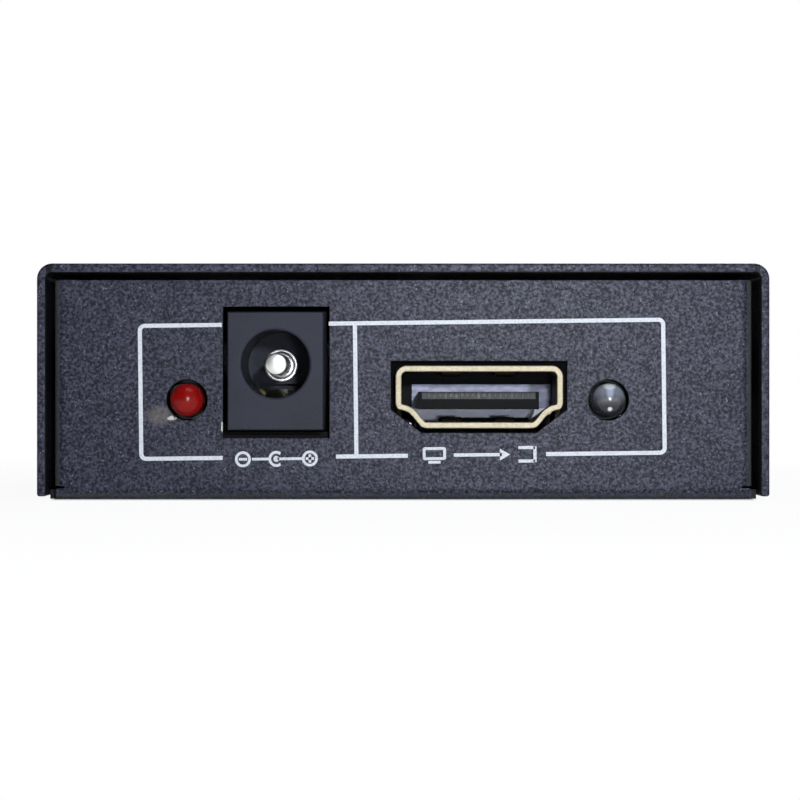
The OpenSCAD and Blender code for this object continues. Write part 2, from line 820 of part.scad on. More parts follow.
// The moulded body of the jack: square front block, arched barrel and hollows for the metal strips
module jack_housing() {
    down = [-past, floor_t + past];
    color(plastic_black) at_jack() difference() {
        union() {
            bar(jack_w, [0, jack_block_l], [0, jack_h]);
            bar(jack_w, [jack_block_l - past, jack_l], [0, bore_rise]);
            translate([0, 0, bore_rise]) round_y(jack_block_l - past, jack_l, jack_w / 2, jack_w / 2);
        }
        translate([0, 0, bore_rise]) {
            round_y(-past, bore_depth, bore_r, bore_r);
            round_y(0, bore_chamfer, bore_r + bore_chamfer, bore_r);
            round_y(bore_depth - past, rear_y + past, stem_r + lead_fit, stem_r + lead_fit);
        }
        bar(leaf_slot_w, leaf_slot_y, [floor_t, window_top]);
        bar(leaf_slot_w, [leaf_slot_y[0], bore_depth], [floor_t, bore_rise]);
        bar(blade_w + 2 * slot_clear, [rear_y, jack_l + past], [-past, blade_top + slot_clear]);
        translate([0, sleeve_blade_y, 0])
            bar(blade_w + 2 * lead_fit, strip_t * [-0.5, 0.5] + lead_fit * [-1, 1], down);
        switch_strip(lead_fit);
    }
}

// The centre pin: chamfered tip, round shank, collar at the bore's end and stem to the rivet head
module jack_centre_pin() {
    rivet_y = rear_y + strip_t + 2 * lead_fit;
    color(bright_metal) at_jack() translate([0, 0, bore_rise]) {
        round_y(pin_recess, pin_recess + pin_chamfer, pin_r - pin_chamfer, pin_r);
        round_y(pin_recess + pin_chamfer, bore_depth, pin_r, pin_r);
        round_y(bore_depth - collar_t, bore_depth, collar_d / 2, collar_d / 2);
        round_y(bore_depth - collar_t, rivet_y + collar_t, stem_r, stem_r);
        round_y(rivet_y, rivet_y + collar_t, stem_r * 1.4, stem_r * 1.4);
    }
}

// The solder blade behind the jack, held by the centre pin's rivet head
module jack_pin_terminal() {
    color(bright_metal) at_jack() difference() {
        bar(blade_w, [rear_y, rear_y + strip_t] + lead_fit * [1, 1], [-below_board, blade_top]);
        translate([0, 0, bore_rise])
            round_y(rear_y - past, rear_y + strip_t + past, stem_r + lead_fit, stem_r + lead_fit);
    }
}

// The sleeve contact's fixed part: solder blade, floor strip and two cheeks with a pin between them
module jack_sleeve_terminal() {
    top = floor_t + strip_t;
    cheek_r = knuckle_r + strip_t;
    color(contact_gold) at_jack() {
        translate([0, sleeve_blade_y, 0]) bar(blade_w, strip_t * [-0.5, 0.5], [-below_board, top]);
        bar(clevis_w, [knuckle_y - cheek_r, sleeve_blade_y + strip_t / 2], [floor_t, top]);
        for (s = [-1, 1]) translate([s * (clevis_w - strip_t) / 2, 0, 0])
            run_x(-strip_t / 2, strip_t / 2) {
                translate([knuckle_y, knuckle_z]) circle(cheek_r);
                translate([knuckle_y - cheek_r, floor_t]) square([2 * cheek_r, knuckle_z - floor_t]);
            }
        run_x(-clevis_w / 2, clevis_w / 2) translate([knuckle_y, knuckle_z]) circle(knuckle_r);
    }
}

// The sprung leaf that presses on a plug's sleeve: rolled root, bump in the bore and free end
module jack_sleeve_spring() {
    roll_r = knuckle_r + leaf_clear;
    root = [knuckle_y, knuckle_z];
    bend = root + [roll_r + strip_t, strip_t / 2];
    color(contact_gold) at_jack() run_x(-leaf_w / 2, leaf_w / 2) difference() {
        union() {
            translate(root) circle(roll_r + strip_t);
            strip(concat([root, bend], leaf_points), strip_t);
        }
        translate(root) circle(roll_r);
    }
}

// The stepped strip from above the leaf's free end to a solder leg at the jack's side
module switch_strip(fit) {
    half = switch_w / 2 + fit;
    run_y(switch_y - half, switch_y + half)
        strip(concat(switch_points, [[switch_x, -below_board]]), strip_t + 2 * fit);
}

// The switch contact, which the leaf leaves when a plug pushes it down
module jack_switch_contact() {
    color(bright_metal) at_jack() switch_strip(0);
}

// The metal inside and behind a lamp's lens: two bent leads, one with the cup that holds the die
module lamp_leads(fit) {
    cup = [[-lead_x, post_y], [lead_w / 2, post_y + cup_l]];
    translate([0, 0, lamp_rise])
        block(
            [cup[0][0] - lead_w / 2 - fit, cup[0][1] - fit, -cup_w / 2 - fit],
            [cup[1][0] + fit, cup[1][1] + fit, cup_w / 2 + fit]
        );
    for (s = [-1, 1]) translate([s * lead_x, 0, 0]) {
        half = lead_w / 2 + fit;
        bar(2 * half, [post_y + 0.4 - fit, lead_y + half], lamp_rise * [1, 1] + half * [-1, 1]);
        bar(2 * half, lead_y * [1, 1] + half * [-1, 1], [-below_board, lamp_rise + half]);
    }
}

// A lamp's lens: domed tip, round body and rim at the foot
module lamp_lens() {
    difference() {
        translate([0, 0, lamp_rise]) {
            translate([0, lamp_r, 0]) sphere(lamp_r);
            round_y(lamp_r, lamp_l, lamp_r, lamp_r);
            round_y(lamp_l - lamp_rim_t, lamp_l, lamp_rim_d / 2, lamp_rim_d / 2);
        }
        lamp_leads(lead_fit);
    }
}

module power_lamp_lens() {
    color(lens_red) at_front_lamp(power_lamp_x) lamp_lens();
}

module power_lamp_leads() {
    color(bright_metal) at_front_lamp(power_lamp_x) lamp_leads(0);
}

module input_lamp_lens() {
    color(lens_clear) at_front_lamp(input_lamp_x) lamp_lens();
}

module input_lamp_leads() {
    color(bright_metal) at_front_lamp(input_lamp_x) lamp_leads(0);
}

module output1_lamp_lens() {
    color(lens_clear) at_rear_lamp(output_lamps[0]) lamp_lens();
}

module output1_lamp_leads() {
    color(bright_metal) at_rear_lamp(output_lamps[0]) lamp_leads(0);
}

module output2_lamp_lens() {
    color(lens_clear) at_rear_lamp(output_lamps[1]) lamp_lens();
}

module output2_lamp_leads() {
    color(bright_metal) at_rear_lamp(output_lamps[1]) lamp_leads(0);
}

// One gull-wing lead that leaves a body's side at zero and points along +Y
module gull_lead(width) {
    half = gull_reach / 2;
    run_x(-width / 2, width / 2) {
        translate([0, lead_level - gull_t]) square([half, gull_t]);
        translate([half - gull_t, 0]) square([gull_t, lead_level]);
        translate([half - gull_t, 0]) square([half + gull_t, gull_t]);
    }
}

// A row of leads about the middle of one side of a body
module gull_row(count, pitch, width, side_y) {
    for (i = [0:count - 1])
        translate([(i - (count - 1) / 2) * pitch, side_y, 0])
        gull_lead(width);
}

module splitter_chip() {
    half = chip_side / 2;
    color(chip_black) on_board(chip_at) bar(chip_side, half * [-1, 1], [gull_t, chip_t]);
}

module splitter_chip_leads() {
    color(bright_metal) on_board(chip_at) for (turn = [0, 90, 180, 270])
        rotate(turn)
        gull_row(chip_leads, chip_pitch, chip_pitch * 0.45, chip_side / 2);
}

module memory_chip() {
    color(chip_black) on_board(memory_at) bar(memory_w, memory_l / 2 * [-1, 1], [gull_t, small_chip_t]);
}

module memory_chip_leads() {
    color(bright_metal) on_board(memory_at) for (turn = [90, 270])
        rotate(turn)
        gull_row(4, memory_pitch, memory_pitch * 0.32, memory_w / 2);
}

module voltage_regulator() {
    color(chip_black) on_board(regulator_at)
        bar(regulator_l, regulator_w / 2 * [-1, 1], [gull_t, small_chip_t]);
}

module voltage_regulator_leads() {
    pitch = regulator_l * 0.35;
    color(bright_metal) on_board(regulator_at) {
        gull_row(1, 0, regulator_l * 0.46, regulator_w / 2);
        rotate(180) gull_row(3, pitch, pitch * 0.3, regulator_w / 2);
    }
}

// A long flat shape with round ends
module stadium(length, width) {
    straight = length - width;
    square([straight, width], center = true);
    for (s = [-1, 1]) translate([s * straight / 2, 0]) circle(width / 2);
}

module clock_crystal() {
    color(bright_metal) on_board(crystal_at) {
        linear_extrude(crystal_h) stadium(crystal_l, crystal_w);
        linear_extrude(crystal_seam) stadium(crystal_l + 2 * crystal_seam, crystal_w + 2 * crystal_seam);
    }
}

// Aluminium cans with a crimp groove near the foot
module capacitor_cans() {
    groove = 0.25;
    groove_z = can_base_t + can_h * 0.22;
    color(bright_metal) for (place = can_places) on_board(place) difference() {
        translate([0, 0, can_base_t]) cylinder(h = can_h, d = can_d);
        translate([0, 0, groove_z]) rotate_extrude() translate([can_d / 2, 0]) circle(groove);
    }
}

module capacitor_bases() {
    half = can_base / 2;
    cut = can_base * 0.18;
    color(chip_black) for (place = can_places) on_board(place) linear_extrude(can_base_t)
        polygon([[-half, -half], [half - cut, -half], [half, cut - half], [half, half - cut],
            [half - cut, half], [-half, half]]);
}

// The body of a small chip component between its two end caps
module chip_body() {
    bar(chip_part_l - 2 * end_cap_l, chip_part_w / 2 * [-1, 1], [0, chip_part_h]);
}

module chip_caps() {
    for (s = [-1, 1]) translate([s * (chip_part_l - end_cap_l) / 2, 0, 0])
        bar(end_cap_l, chip_part_w / 2 * [-1, 1], [0, chip_part_h]);
}

module chip_capacitors() {
    color([0.55, 0.42, 0.3]) for (place = capacitor_places) on_board(place) chip_body();
}

module chip_resistors() {
    color(chip_black) for (place = resistor_places) on_board(place) chip_body();
}

module chip_end_caps() {
    color(bright_metal) for (place = concat(capacitor_places, resistor_places)) on_board(place) chip_caps();
}

// Surge arrays that stand just behind the sockets' solder tails
module surge_arrays() {
    middle = tail_y + 0.6 + surge_w / 2;
    color(chip_black) at_sockets() bar(surge_l, middle * [1, 1] + surge_w * [-0.5, 0.5], [0, surge_h]);
}

module input_diode() {
    color(chip_black) on_board(diode_at) bar(diode_l, diode_w / 2 * [-1, 1], [0, diode_h]);
}

chassis_tray();
top_cover();
case_screws();
board_standoffs();
board_screws();
circuit_board();
input_socket_shell();
input_socket_insulator();
input_socket_contacts();
output1_socket_shell();
output1_socket_insulator();
output1_socket_contacts();
output2_socket_shell();
output2_socket_insulator();
output2_socket_contacts();
jack_housing();
jack_centre_pin();
jack_pin_terminal();
jack_sleeve_terminal();
jack_sleeve_spring();
jack_switch_contact();
power_lamp_lens();
power_lamp_leads();
input_lamp_lens();
input_lamp_leads();
output1_lamp_lens();
output1_lamp_leads();
output2_lamp_lens();
output2_lamp_leads();
splitter_chip();
splitter_chip_leads();
memory_chip();
memory_chip_leads();
voltage_regulator();
voltage_regulator_leads();
clock_crystal();
capacitor_cans();
capacitor_bases();
chip_capacitors();
chip_resistors();
chip_end_caps();
surge_arrays();
input_diode();
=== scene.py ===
"""Dresses a packed video splitter box: painted steel case, print, sockets, power jack, lamps and stage."""

import math

import bmesh
import bpy
from bmesh.types import BMEdge, BMVert
from bpy.props import FloatProperty, FloatVectorProperty, IntProperty, PointerProperty
from mathutils import Matrix, Vector


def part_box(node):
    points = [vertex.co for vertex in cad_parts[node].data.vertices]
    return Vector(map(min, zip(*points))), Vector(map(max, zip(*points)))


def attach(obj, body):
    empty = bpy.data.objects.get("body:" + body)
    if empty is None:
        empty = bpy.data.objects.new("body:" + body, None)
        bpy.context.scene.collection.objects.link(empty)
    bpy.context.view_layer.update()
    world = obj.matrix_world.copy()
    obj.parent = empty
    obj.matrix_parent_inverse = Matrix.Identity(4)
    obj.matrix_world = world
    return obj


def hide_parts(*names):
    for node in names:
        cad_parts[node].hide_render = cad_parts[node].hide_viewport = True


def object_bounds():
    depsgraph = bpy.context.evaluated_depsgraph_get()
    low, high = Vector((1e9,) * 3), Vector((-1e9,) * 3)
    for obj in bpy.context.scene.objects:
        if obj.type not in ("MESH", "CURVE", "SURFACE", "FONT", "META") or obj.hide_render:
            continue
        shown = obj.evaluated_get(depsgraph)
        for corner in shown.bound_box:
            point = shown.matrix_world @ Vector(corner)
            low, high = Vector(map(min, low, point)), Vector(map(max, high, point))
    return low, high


bl_info = {
    "name": "Video splitter box",
    "version": (1, 0, 0),
    "blender": (4, 5, 0),
    "location": "View3D > Sidebar > Splitter",
    "description": "Dresses the packed splitter box with paint, print, metal, plastic and lamps",
    "category": "Object",
}

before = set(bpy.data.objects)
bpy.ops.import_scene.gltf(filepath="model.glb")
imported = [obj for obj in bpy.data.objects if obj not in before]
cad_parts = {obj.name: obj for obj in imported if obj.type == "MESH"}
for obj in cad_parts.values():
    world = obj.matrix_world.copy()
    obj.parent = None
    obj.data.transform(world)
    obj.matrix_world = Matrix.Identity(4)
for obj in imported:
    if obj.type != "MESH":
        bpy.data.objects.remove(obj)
CAD_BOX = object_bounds()
MM = 0.001
BLACK, WHITE = (0.0, 0.0, 0.0), (1.0, 1.0, 1.0)
BODY = "case"
LEAF_BODY = "sleeve_spring"
SOCKETS = ("input", "output1", "output2")
TRAY_LOW, TRAY_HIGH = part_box("chassis_tray")
COVER_LOW, COVER_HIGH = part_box("top_cover")
JACK_LOW, JACK_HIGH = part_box("jack_housing")
PIN_LOW, PIN_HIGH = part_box("jack_centre_pin")
LEAF_LOW, LEAF_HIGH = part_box("jack_sleeve_spring")
SHEET = 0.86 * MM


def length(name, description, default_mm):
    """A length setting, given in millimetres and kept in metres."""
    return FloatProperty(name=name, description=description, default=default_mm * MM, min=0.0, precision=6,
                         subtype="DISTANCE", unit="LENGTH")


def angle(name, description, degrees):
    return FloatProperty(name=name, description=description, default=math.radians(degrees), subtype="ANGLE",
                         unit="ROTATION")


def share(name, description, default):
    return FloatProperty(name=name, description=description, default=default, min=0.0, max=1.0, subtype="FACTOR")


def tint(name, description, colour):
    return FloatVectorProperty(name=name, description=description, default=colour, size=3, min=0.0, max=1.0,
                               subtype="COLOR")


def lamp_power(name, description, watts):
    return FloatProperty(name=name, description=description, default=watts, min=0.0, subtype="POWER", unit="POWER")


class CaseLooks(bpy.types.PropertyGroup):
    """Finish of the painted case and its screws."""

    edge_round: length("Edge rounding", "Radius of the paint over a sheet edge", 0.22)
    hole_round: length("Hole rounding", "Radius of the paint at the edges of the end panels' holes", 0.07)
    screw_round: length("Screw rounding", "Radius along the screw heads' edges", 0.05)
    grain: length("Grain", "Size of the grains in the textured paint", 0.27)
    grain_height: length("Grain height", "How far the grains stand up", 0.07)
    paint: tint("Paint", "Body colour of the textured paint", (0.003, 0.004, 0.011))
    fleck: tint("Flecks", "Colour of the paler grains", (0.105, 0.112, 0.165))
    # The colour of the tray's folds is painted sheen: a paler strip that stands in for light reflected along the bends.
    wear_and_sheen: tint("Worn folds", "Paint that is rubbed smooth along the tray's folds", (0.1, 0.104, 0.092))
    bare_steel: tint("Bare steel", "Steel that shows where the paint is chipped", (0.34, 0.32, 0.29))
    screw_black: tint("Screw", "Blackened screw steel", (0.035, 0.035, 0.04))


class PrintLooks(bpy.types.PropertyGroup):
    """The printed frames and symbols on the two end panels."""

    line: length("Line", "Width of the frame lines", 0.37)
    corner: length("Corner", "Radius of the frames' corners", 0.62)
    lift: length("Lift", "How far the ink stands on the paint", 0.02)
    tilt: angle("Tilt", "Turn of the front print against the panel", 0.68)
    ink: tint("Ink", "Colour of the ink", (0.68, 0.695, 0.725))


class SocketLooks(bpy.types.PropertyGroup):
    """The video sockets."""

    lip_round: length("Lip rounding", "Radius along the edges of the sockets' lips", 0.1)
    waist: length("Waist", "Depth of the S in the slopes at the mouths' lower corners", 0.33)
    plate: tint("Plating", "Pale gold plating of the shells", (0.457, 0.405, 0.292))
    tongue: tint("Tongue", "Moulded plastic of the tongue", (0.0045, 0.0045, 0.005))
    # The pale wall tint is painted light on a moulding as black as the tongue.
    wall: tint("Wall", "Moulded plastic of the wall behind the tongue", (0.54, 0.55, 0.7))
    # The contacts' plating is darkened by painted shade, to the grey the blades show in shadow.
    contact: tint("Contacts", "Plating of the contact blades", (0.095, 0.093, 0.085))


class JackLooks(bpy.types.PropertyGroup):
    """The barrel power jack."""

    face_round: length("Face rounding", "Radius along the edges of the jack's face", 0.12)
    lean: length("Draft", "How far the sides of the front block lean in at its face", 0.2)
    crown: length("Leaf crown", "How far the middle of the sprung leaf stands over its edges", 0.22)
    leaf_sheet: length("Leaf sheet", "Thickness of the sprung leaf", 0.28)
    plastic: tint("Plastic", "Moulded plastic of the jack", (0.0135, 0.0148, 0.025))
    nickel: tint("Nickel", "Plating of the centre pin", (0.72, 0.71, 0.69))
    brass: tint("Brass", "Sheet of the sleeve contact's terminal", (0.5, 0.42, 0.2))
    # This brass colour is painted shade: the leaf and the switch contact are darkened as they lie in shade in the bore.
    tarnish_and_shade: tint("Tarnish", "Dull brass of the sprung leaf and the switch contact", (0.085, 0.08, 0.04))


class LampLooks(bpy.types.PropertyGroup):
    """The four round lamps."""

    dome_steps: IntProperty(name="Dome steps", description="Rings in a lens's dome", default=14, min=4, max=40)
    turn_steps: IntProperty(name="Turn steps", description="Faces around a lens", default=64, min=12, max=128)
    red: tint("Red", "Tinted resin of the power lamp", (0.265, 0.004, 0.003))
    # The clear tint is painted light: the pale upper half of the dome.
    clear: tint("Clear", "Water-clear resin of the other lamps, where light falls through it", (0.2, 0.215, 0.25))


class BoardLooks(bpy.types.PropertyGroup):
    """The circuit board and what stands on it."""

    mask: tint("Solder mask", "Lacquer over the board", (0.004, 0.012, 0.008))
    copper: tint("Tracks", "Lacquer where it lies over copper", (0.008, 0.026, 0.015))
    moulding: tint("Mouldings", "Moulded cases of the chips", (0.022, 0.022, 0.024))
    ceramic: tint("Ceramic", "Bodies of the chip capacitors", (0.35, 0.24, 0.15))
    tin: tint("Tin", "Tinned leads and end caps", (0.72, 0.72, 0.7))
    zinc: tint("Zinc", "Zinc-plated steel", (0.66, 0.67, 0.68))
    aluminium: tint("Aluminium", "Capacitor cans", (0.8, 0.81, 0.82))


class StageLooks(bpy.types.PropertyGroup):
    """Floor, light and camera."""

    flash: lamp_power("Flash", "Small light above and beside the camera", 0.19)
    low: lamp_power("Low light", "Small light below the camera", 0.06)
    right: lamp_power("Right softbox", "Softbox at the right", 0.04)
    rear: lamp_power("Rear softbox", "Softbox behind the object", 0.3)
    above: lamp_power("Overhead softbox", "Softbox above the object", 0.4)
    under: lamp_power("Lower softbox", "Softbox under the opening of the floor", 0.25)
    ambient: share("Ambient", "Strength of the light that comes from all round", 0.05)
    room: share("Room", "Brightness of the room behind the camera, as glossy surfaces see it", 0.08)
    floor_shade: share("Shade", "Share of the floor's look that takes the object's shadow", 0.06)
    focal: length("Focal length", "Focal length of the camera", 100.0)
    distance: length("Distance", "From the camera to the case's front edge", 200.0)


LOOKS = {
    "splitter_case": CaseLooks, "splitter_print": PrintLooks, "splitter_socket": SocketLooks,
    "splitter_jack": JackLooks, "splitter_lamp": LampLooks, "splitter_board": BoardLooks,
    "splitter_stage": StageLooks,
}


class Signal:
    """An output of a finish's nodes; sums on it add Math nodes."""

    def __init__(self, finish, socket):
        self.finish, self.socket = finish, socket

    def math(self, operation, first, second=None):
        inputs = {0: first} if second is None else {0: first, 1: second}
        return self.finish.node("ShaderNodeMath", inputs, operation=operation)

    def __add__(self, other):
        return self.math("ADD", self, other)

    __radd__ = __add__

    def __sub__(self, other):
        return self.math("SUBTRACT", self, other)

    def __rsub__(self, other):
        return self.math("SUBTRACT", other, self)

    def __mul__(self, other):
        return self.math("MULTIPLY", self, other)

    __rmul__ = __mul__

    def __truediv__(self, other):
        return self.math("DIVIDE", self, other)

    def __pow__(self, other):
        return self.math("POWER", self, other)

    def __abs__(self):
        return self.math("ABSOLUTE", self)

    def __gt__(self, other):
        return self.math("GREATER_THAN", self, other)

    def __lt__(self, other):
        return self.math("LESS_THAN", self, other)


class Finish:
    """A node tree of a material or the world, built from named nodes."""

    def __init__(self, owner):
        self.owner = owner
        owner.use_nodes = True
        self.tree = owner.node_tree
        self.tree.nodes.clear()

    def feed(self, socket, value):
        if isinstance(value, Signal):
            self.tree.links.new(value.socket, socket)
        elif hasattr(value, "__len__") and len(value) == 3 and socket.type == "RGBA":
            socket.default_value = (*value, 1.0)
        else:
            socket.default_value = value

    def node(self, kind, inputs=None, output=0, **settings):
        """A node of this kind, with what its sockets take and its settings; gives one of its outputs."""
        made = self.tree.nodes.new(kind)
        for key, value in settings.items():
            setattr(made, key, value)
        for key, value in (inputs or {}).items():
            found = made.inputs[key] if isinstance(key, int) else next(
                s for s in made.inputs if key in (s.identifier, s.name))
            self.feed(found, value)
        for index, socket in enumerate(made.outputs):
            if output in (index, socket.identifier, socket.name):
                return Signal(self, socket)

    def place(self, scale=(1.0, 1.0, 1.0)):
        """Object coordinates in metres, scaled."""
        where = self.node("ShaderNodeTexCoord", output="Object")
        return self.node("ShaderNodeMapping", {"Vector": where, "Scale": scale})

    def part(self, vector, name):
        return self.node("ShaderNodeSeparateXYZ", {"Vector": vector}, name)

    def axis(self, name):
        return self.part(self.node("ShaderNodeTexCoord", output="Object"), name)

    def noise(self, size, detail=2.0, roughness=0.5, scale=(1.0, 1.0, 1.0)):
        """Noise from 0 to 1 whose lumps are about this size, in metres."""
        return self.node("ShaderNodeTexNoise", {
            "Vector": self.place(scale), "Scale": 1.0 / size, "Detail": detail, "Roughness": roughness})

    def step(self, value, low, high):
        """0 below low, 1 above high and smooth between them."""
        return self.node("ShaderNodeMapRange", {"Value": value, "From Min": low, "From Max": high},
                         interpolation_type="SMOOTHSTEP")

    def blend(self, factor, first, second):
        return self.node("ShaderNodeMix", {"Factor_Float": factor, "A_Color": first, "B_Color": second},
                         "Result_Color", data_type="RGBA")

    def bump(self, height, distance, strength=1.0):
        return self.node("ShaderNodeBump", {"Strength": strength, "Distance": distance, "Height": height})

    def spot(self, x, z, reach_x, reach_z):
        """1 at a place on a panel, falling to 0 at the given reach along X and Z."""
        across = (self.axis("X") - x) / reach_x
        up = (self.axis("Z") - z) / reach_z
        return self.step(across * across + up * up, 1.0, 0.0)

    def rays(self):
        """Whether a ray comes from the camera, from a gloss or through glass."""
        return [self.node("ShaderNodeLightPath", output=f"Is {kind} Ray")
                for kind in ("Camera", "Glossy", "Transmission")]

    def surface(self, **sockets):
        """Closes a material with a Principled shader."""
        named = {key.replace("_", " ").title().replace("Ior", "IOR"): value for key, value in sockets.items()}
        shader = self.node("ShaderNodeBsdfPrincipled", named)
        self.node("ShaderNodeOutputMaterial", {"Surface": shader})
        return self.owner


def new_finish(name):
    return Finish(bpy.data.materials.new(name))


def toned(colour, factor):
    return tuple(min(1.0, c * factor) for c in colour)


def clamp(value, low, high):
    return min(high, max(low, value))


def linked(name, data):
    """A new object in the scene that holds this data."""
    made = bpy.data.objects.new(name, data)
    bpy.context.scene.collection.objects.link(made)
    return made


def only(kind, geom):
    """The vertices or the edges among the results of a bmesh step."""
    return [g for g in geom if isinstance(g, kind)]


def sliced(bm, point, way, near):
    """Cuts every face along a plane."""
    geom = bm.verts[:] + bm.edges[:] + bm.faces[:]
    bmesh.ops.bisect_plane(bm, geom=geom, plane_co=point, plane_no=way, dist=near)


def joined(bm):
    """Welds vertices that lie on each other and turns the faces outwards."""
    bmesh.ops.remove_doubles(bm, verts=bm.verts, dist=1e-8)
    bmesh.ops.recalc_face_normals(bm, faces=bm.faces)


def textured_paint(looks):
    """Fine textured black paint: paler grains, painted sheen along the tray's folds, painted shade on the insides and
    in the slit, and chips at two holes of the front.
    """
    f = new_finish("textured_paint")
    grain = f.noise(looks.grain, 2.0, 0.55)
    gloss = f.noise(looks.grain * 1.1, 2.0, 0.65, (1.0, 1.0, 1.1))
    cloud = f.noise(looks.grain * 9)
    pale = f.blend(f.step(grain, 0.4, 0.6), looks.fleck, (0.118, 0.104, 0.15))
    colour = f.blend(0.57 * f.step(0.88 * gloss + 0.12 * cloud, 0.36, 0.7), looks.paint, pale)
    speck = f.step(f.noise(looks.grain * 0.8, 1.0, 0.5), 0.66, 0.76)
    colour = f.blend(0.45 * speck, colour, (0.26, 0.26, 0.32))
    x, y, z = (f.axis(name) for name in "XYZ")
    facing = f.node("ShaderNodeNewGeometry", output="Normal")
    side, down = f.part(facing, "X"), f.part(facing, "Z")
    # Painted sheen: the tray's folds are made paler, standing in for light reflected along the bends.
    fold = (abs(y) > TRAY_HIGH.y - 1.05 * MM) * (abs(x) < TRAY_HIGH.x + 0.05 * MM)
    fold_sheen = 0.45 * f.step(abs(side), 0.36, 0.56) + 0.5 * f.step(abs(side), 0.6, 0.95)
    fold_sheen = fold_sheen + 0.36 * f.step(-1.0 * down, 0.3, 0.6)
    colour = f.blend(fold_sheen * fold, colour, looks.wear_and_sheen)
    # Painted shade: faces turned inwards, the cover's underside and the slit beside the tray's floor are darkened to
    # near black.
    inner_shade = f.step(side * x, -8 * MM, -16 * MM) + f.step(-1.0 * down, 0.5, 0.8) * (z > 15 * MM)
    slit_shade = (abs(x) > TRAY_HIGH.x + 0.02 * MM) * (abs(x) < COVER_HIGH.x - SHEET)
    colour = f.blend(f.step(0.85 * inner_shade + slit_shade, 0.0, 1.0), colour, (0.002, 0.002, 0.003))
    front = y < TRAY_LOW.y + 1.2 * MM
    ragged = f.noise(0.35 * MM, 3.0, 0.6)
    scuff = f.spot(-22.0 * MM, 7.6 * MM, 1.5 * MM, 1.15 * MM) * front
    colour = f.blend(scuff * (0.15 + 0.55 * ragged), colour, (0.2, 0.18, 0.155))
    chip = f.spot(-20.9 * MM, 7.35 * MM, 0.65 * MM, 0.4 * MM) + f.spot(-16.36 * MM, 6.55 * MM, 0.2 * MM, 0.75 * MM)
    chip = f.step(chip * front * ragged, 0.3, 0.42)
    colour = f.blend(chip, colour, looks.bare_steel)
    return f.surface(
        base_color=colour, metallic=0.85 * chip, roughness=0.5 - 0.13 * f.step(gloss, 0.3, 0.7),
        specular_ior_level=0.165, normal=f.bump(grain, looks.grain_height, 0.5))


def ink_finish(looks, paint):
    """White ink that follows the grain of the paint under it."""
    f = new_finish("white_ink")
    grain = f.noise(paint.grain, 2.0, 0.55)
    wear_and_sheen = f.step(f.noise(paint.grain * 0.6, 2.0, 0.6), 0.2, 0.6)
    return f.surface(base_color=f.blend(wear_and_sheen, toned(looks.ink, 0.72), looks.ink), roughness=0.45 + 0.2 * grain,
                     normal=f.bump(grain, paint.grain_height, 0.5))


def metal_finish(name, colour, roughness=0.3, grain=0.12 * MM, variation=0.2):
    """Plated or rolled metal: fine scratches, uneven gloss and slight tarnish."""
    f = new_finish(name)
    fine = f.noise(grain, 3.0, 0.6)
    tarnish_and_shade = f.noise(grain * 14, 2.0, 0.55)
    shade = f.blend(f.step(0.5 * fine + 0.5 * tarnish_and_shade, 0.3, 0.7), toned(colour, 1 - variation), colour)
    return f.surface(base_color=shade, metallic=1.0, roughness=roughness * (0.7 + 0.6 * tarnish_and_shade),
                     normal=f.bump(fine, 0.004 * MM, 0.6))


def plastic_finish(name, colour, roughness=0.4, grain=0.2 * MM, height=0.004 * MM, mottle=0.18, gloss=0.5):
    """Moulded plastic: faint spark-eroded grain and uneven gloss."""
    f = new_finish(name)
    fine = f.noise(grain, 2.0, 0.6)
    cloud = f.noise(grain * 20)
    uneven = f.step(0.4 * cloud + 0.6 * fine, 0.35, 0.65)
    shade = f.blend(uneven, toned(colour, 1 - mottle), toned(colour, 1 + mottle))
    return f.surface(base_color=shade, specular_ior_level=gloss, roughness=roughness * (0.8 + 0.4 * fine),
                     normal=f.bump(fine, height, 0.5))


def shell_finish(looks):
    """Pale gold plating, darkened inside the mouth by painted shade."""
    f = new_finish("pale_gold_plate")
    fine = f.noise(0.2 * MM, 3.0, 0.6)
    cloud = f.noise(2.5 * MM)
    shade = f.blend(f.step(0.6 * fine + 0.4 * cloud, 0.35, 0.65), toned(looks.plate, 0.7), looks.plate)
    mouth = -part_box("input_socket_shell")[0].y
    depth = mouth - abs(f.axis("Y"))
    # Painted shade: deeper than the lip, the plating turns nearly black.
    colour = f.blend(f.step(depth, 0.25 * MM, 0.7 * MM), shade, toned(looks.plate, 0.05))
    return f.surface(base_color=colour, metallic=1.0, roughness=0.5 + 0.2 * cloud, normal=f.bump(fine, 0.012 * MM, 0.6))


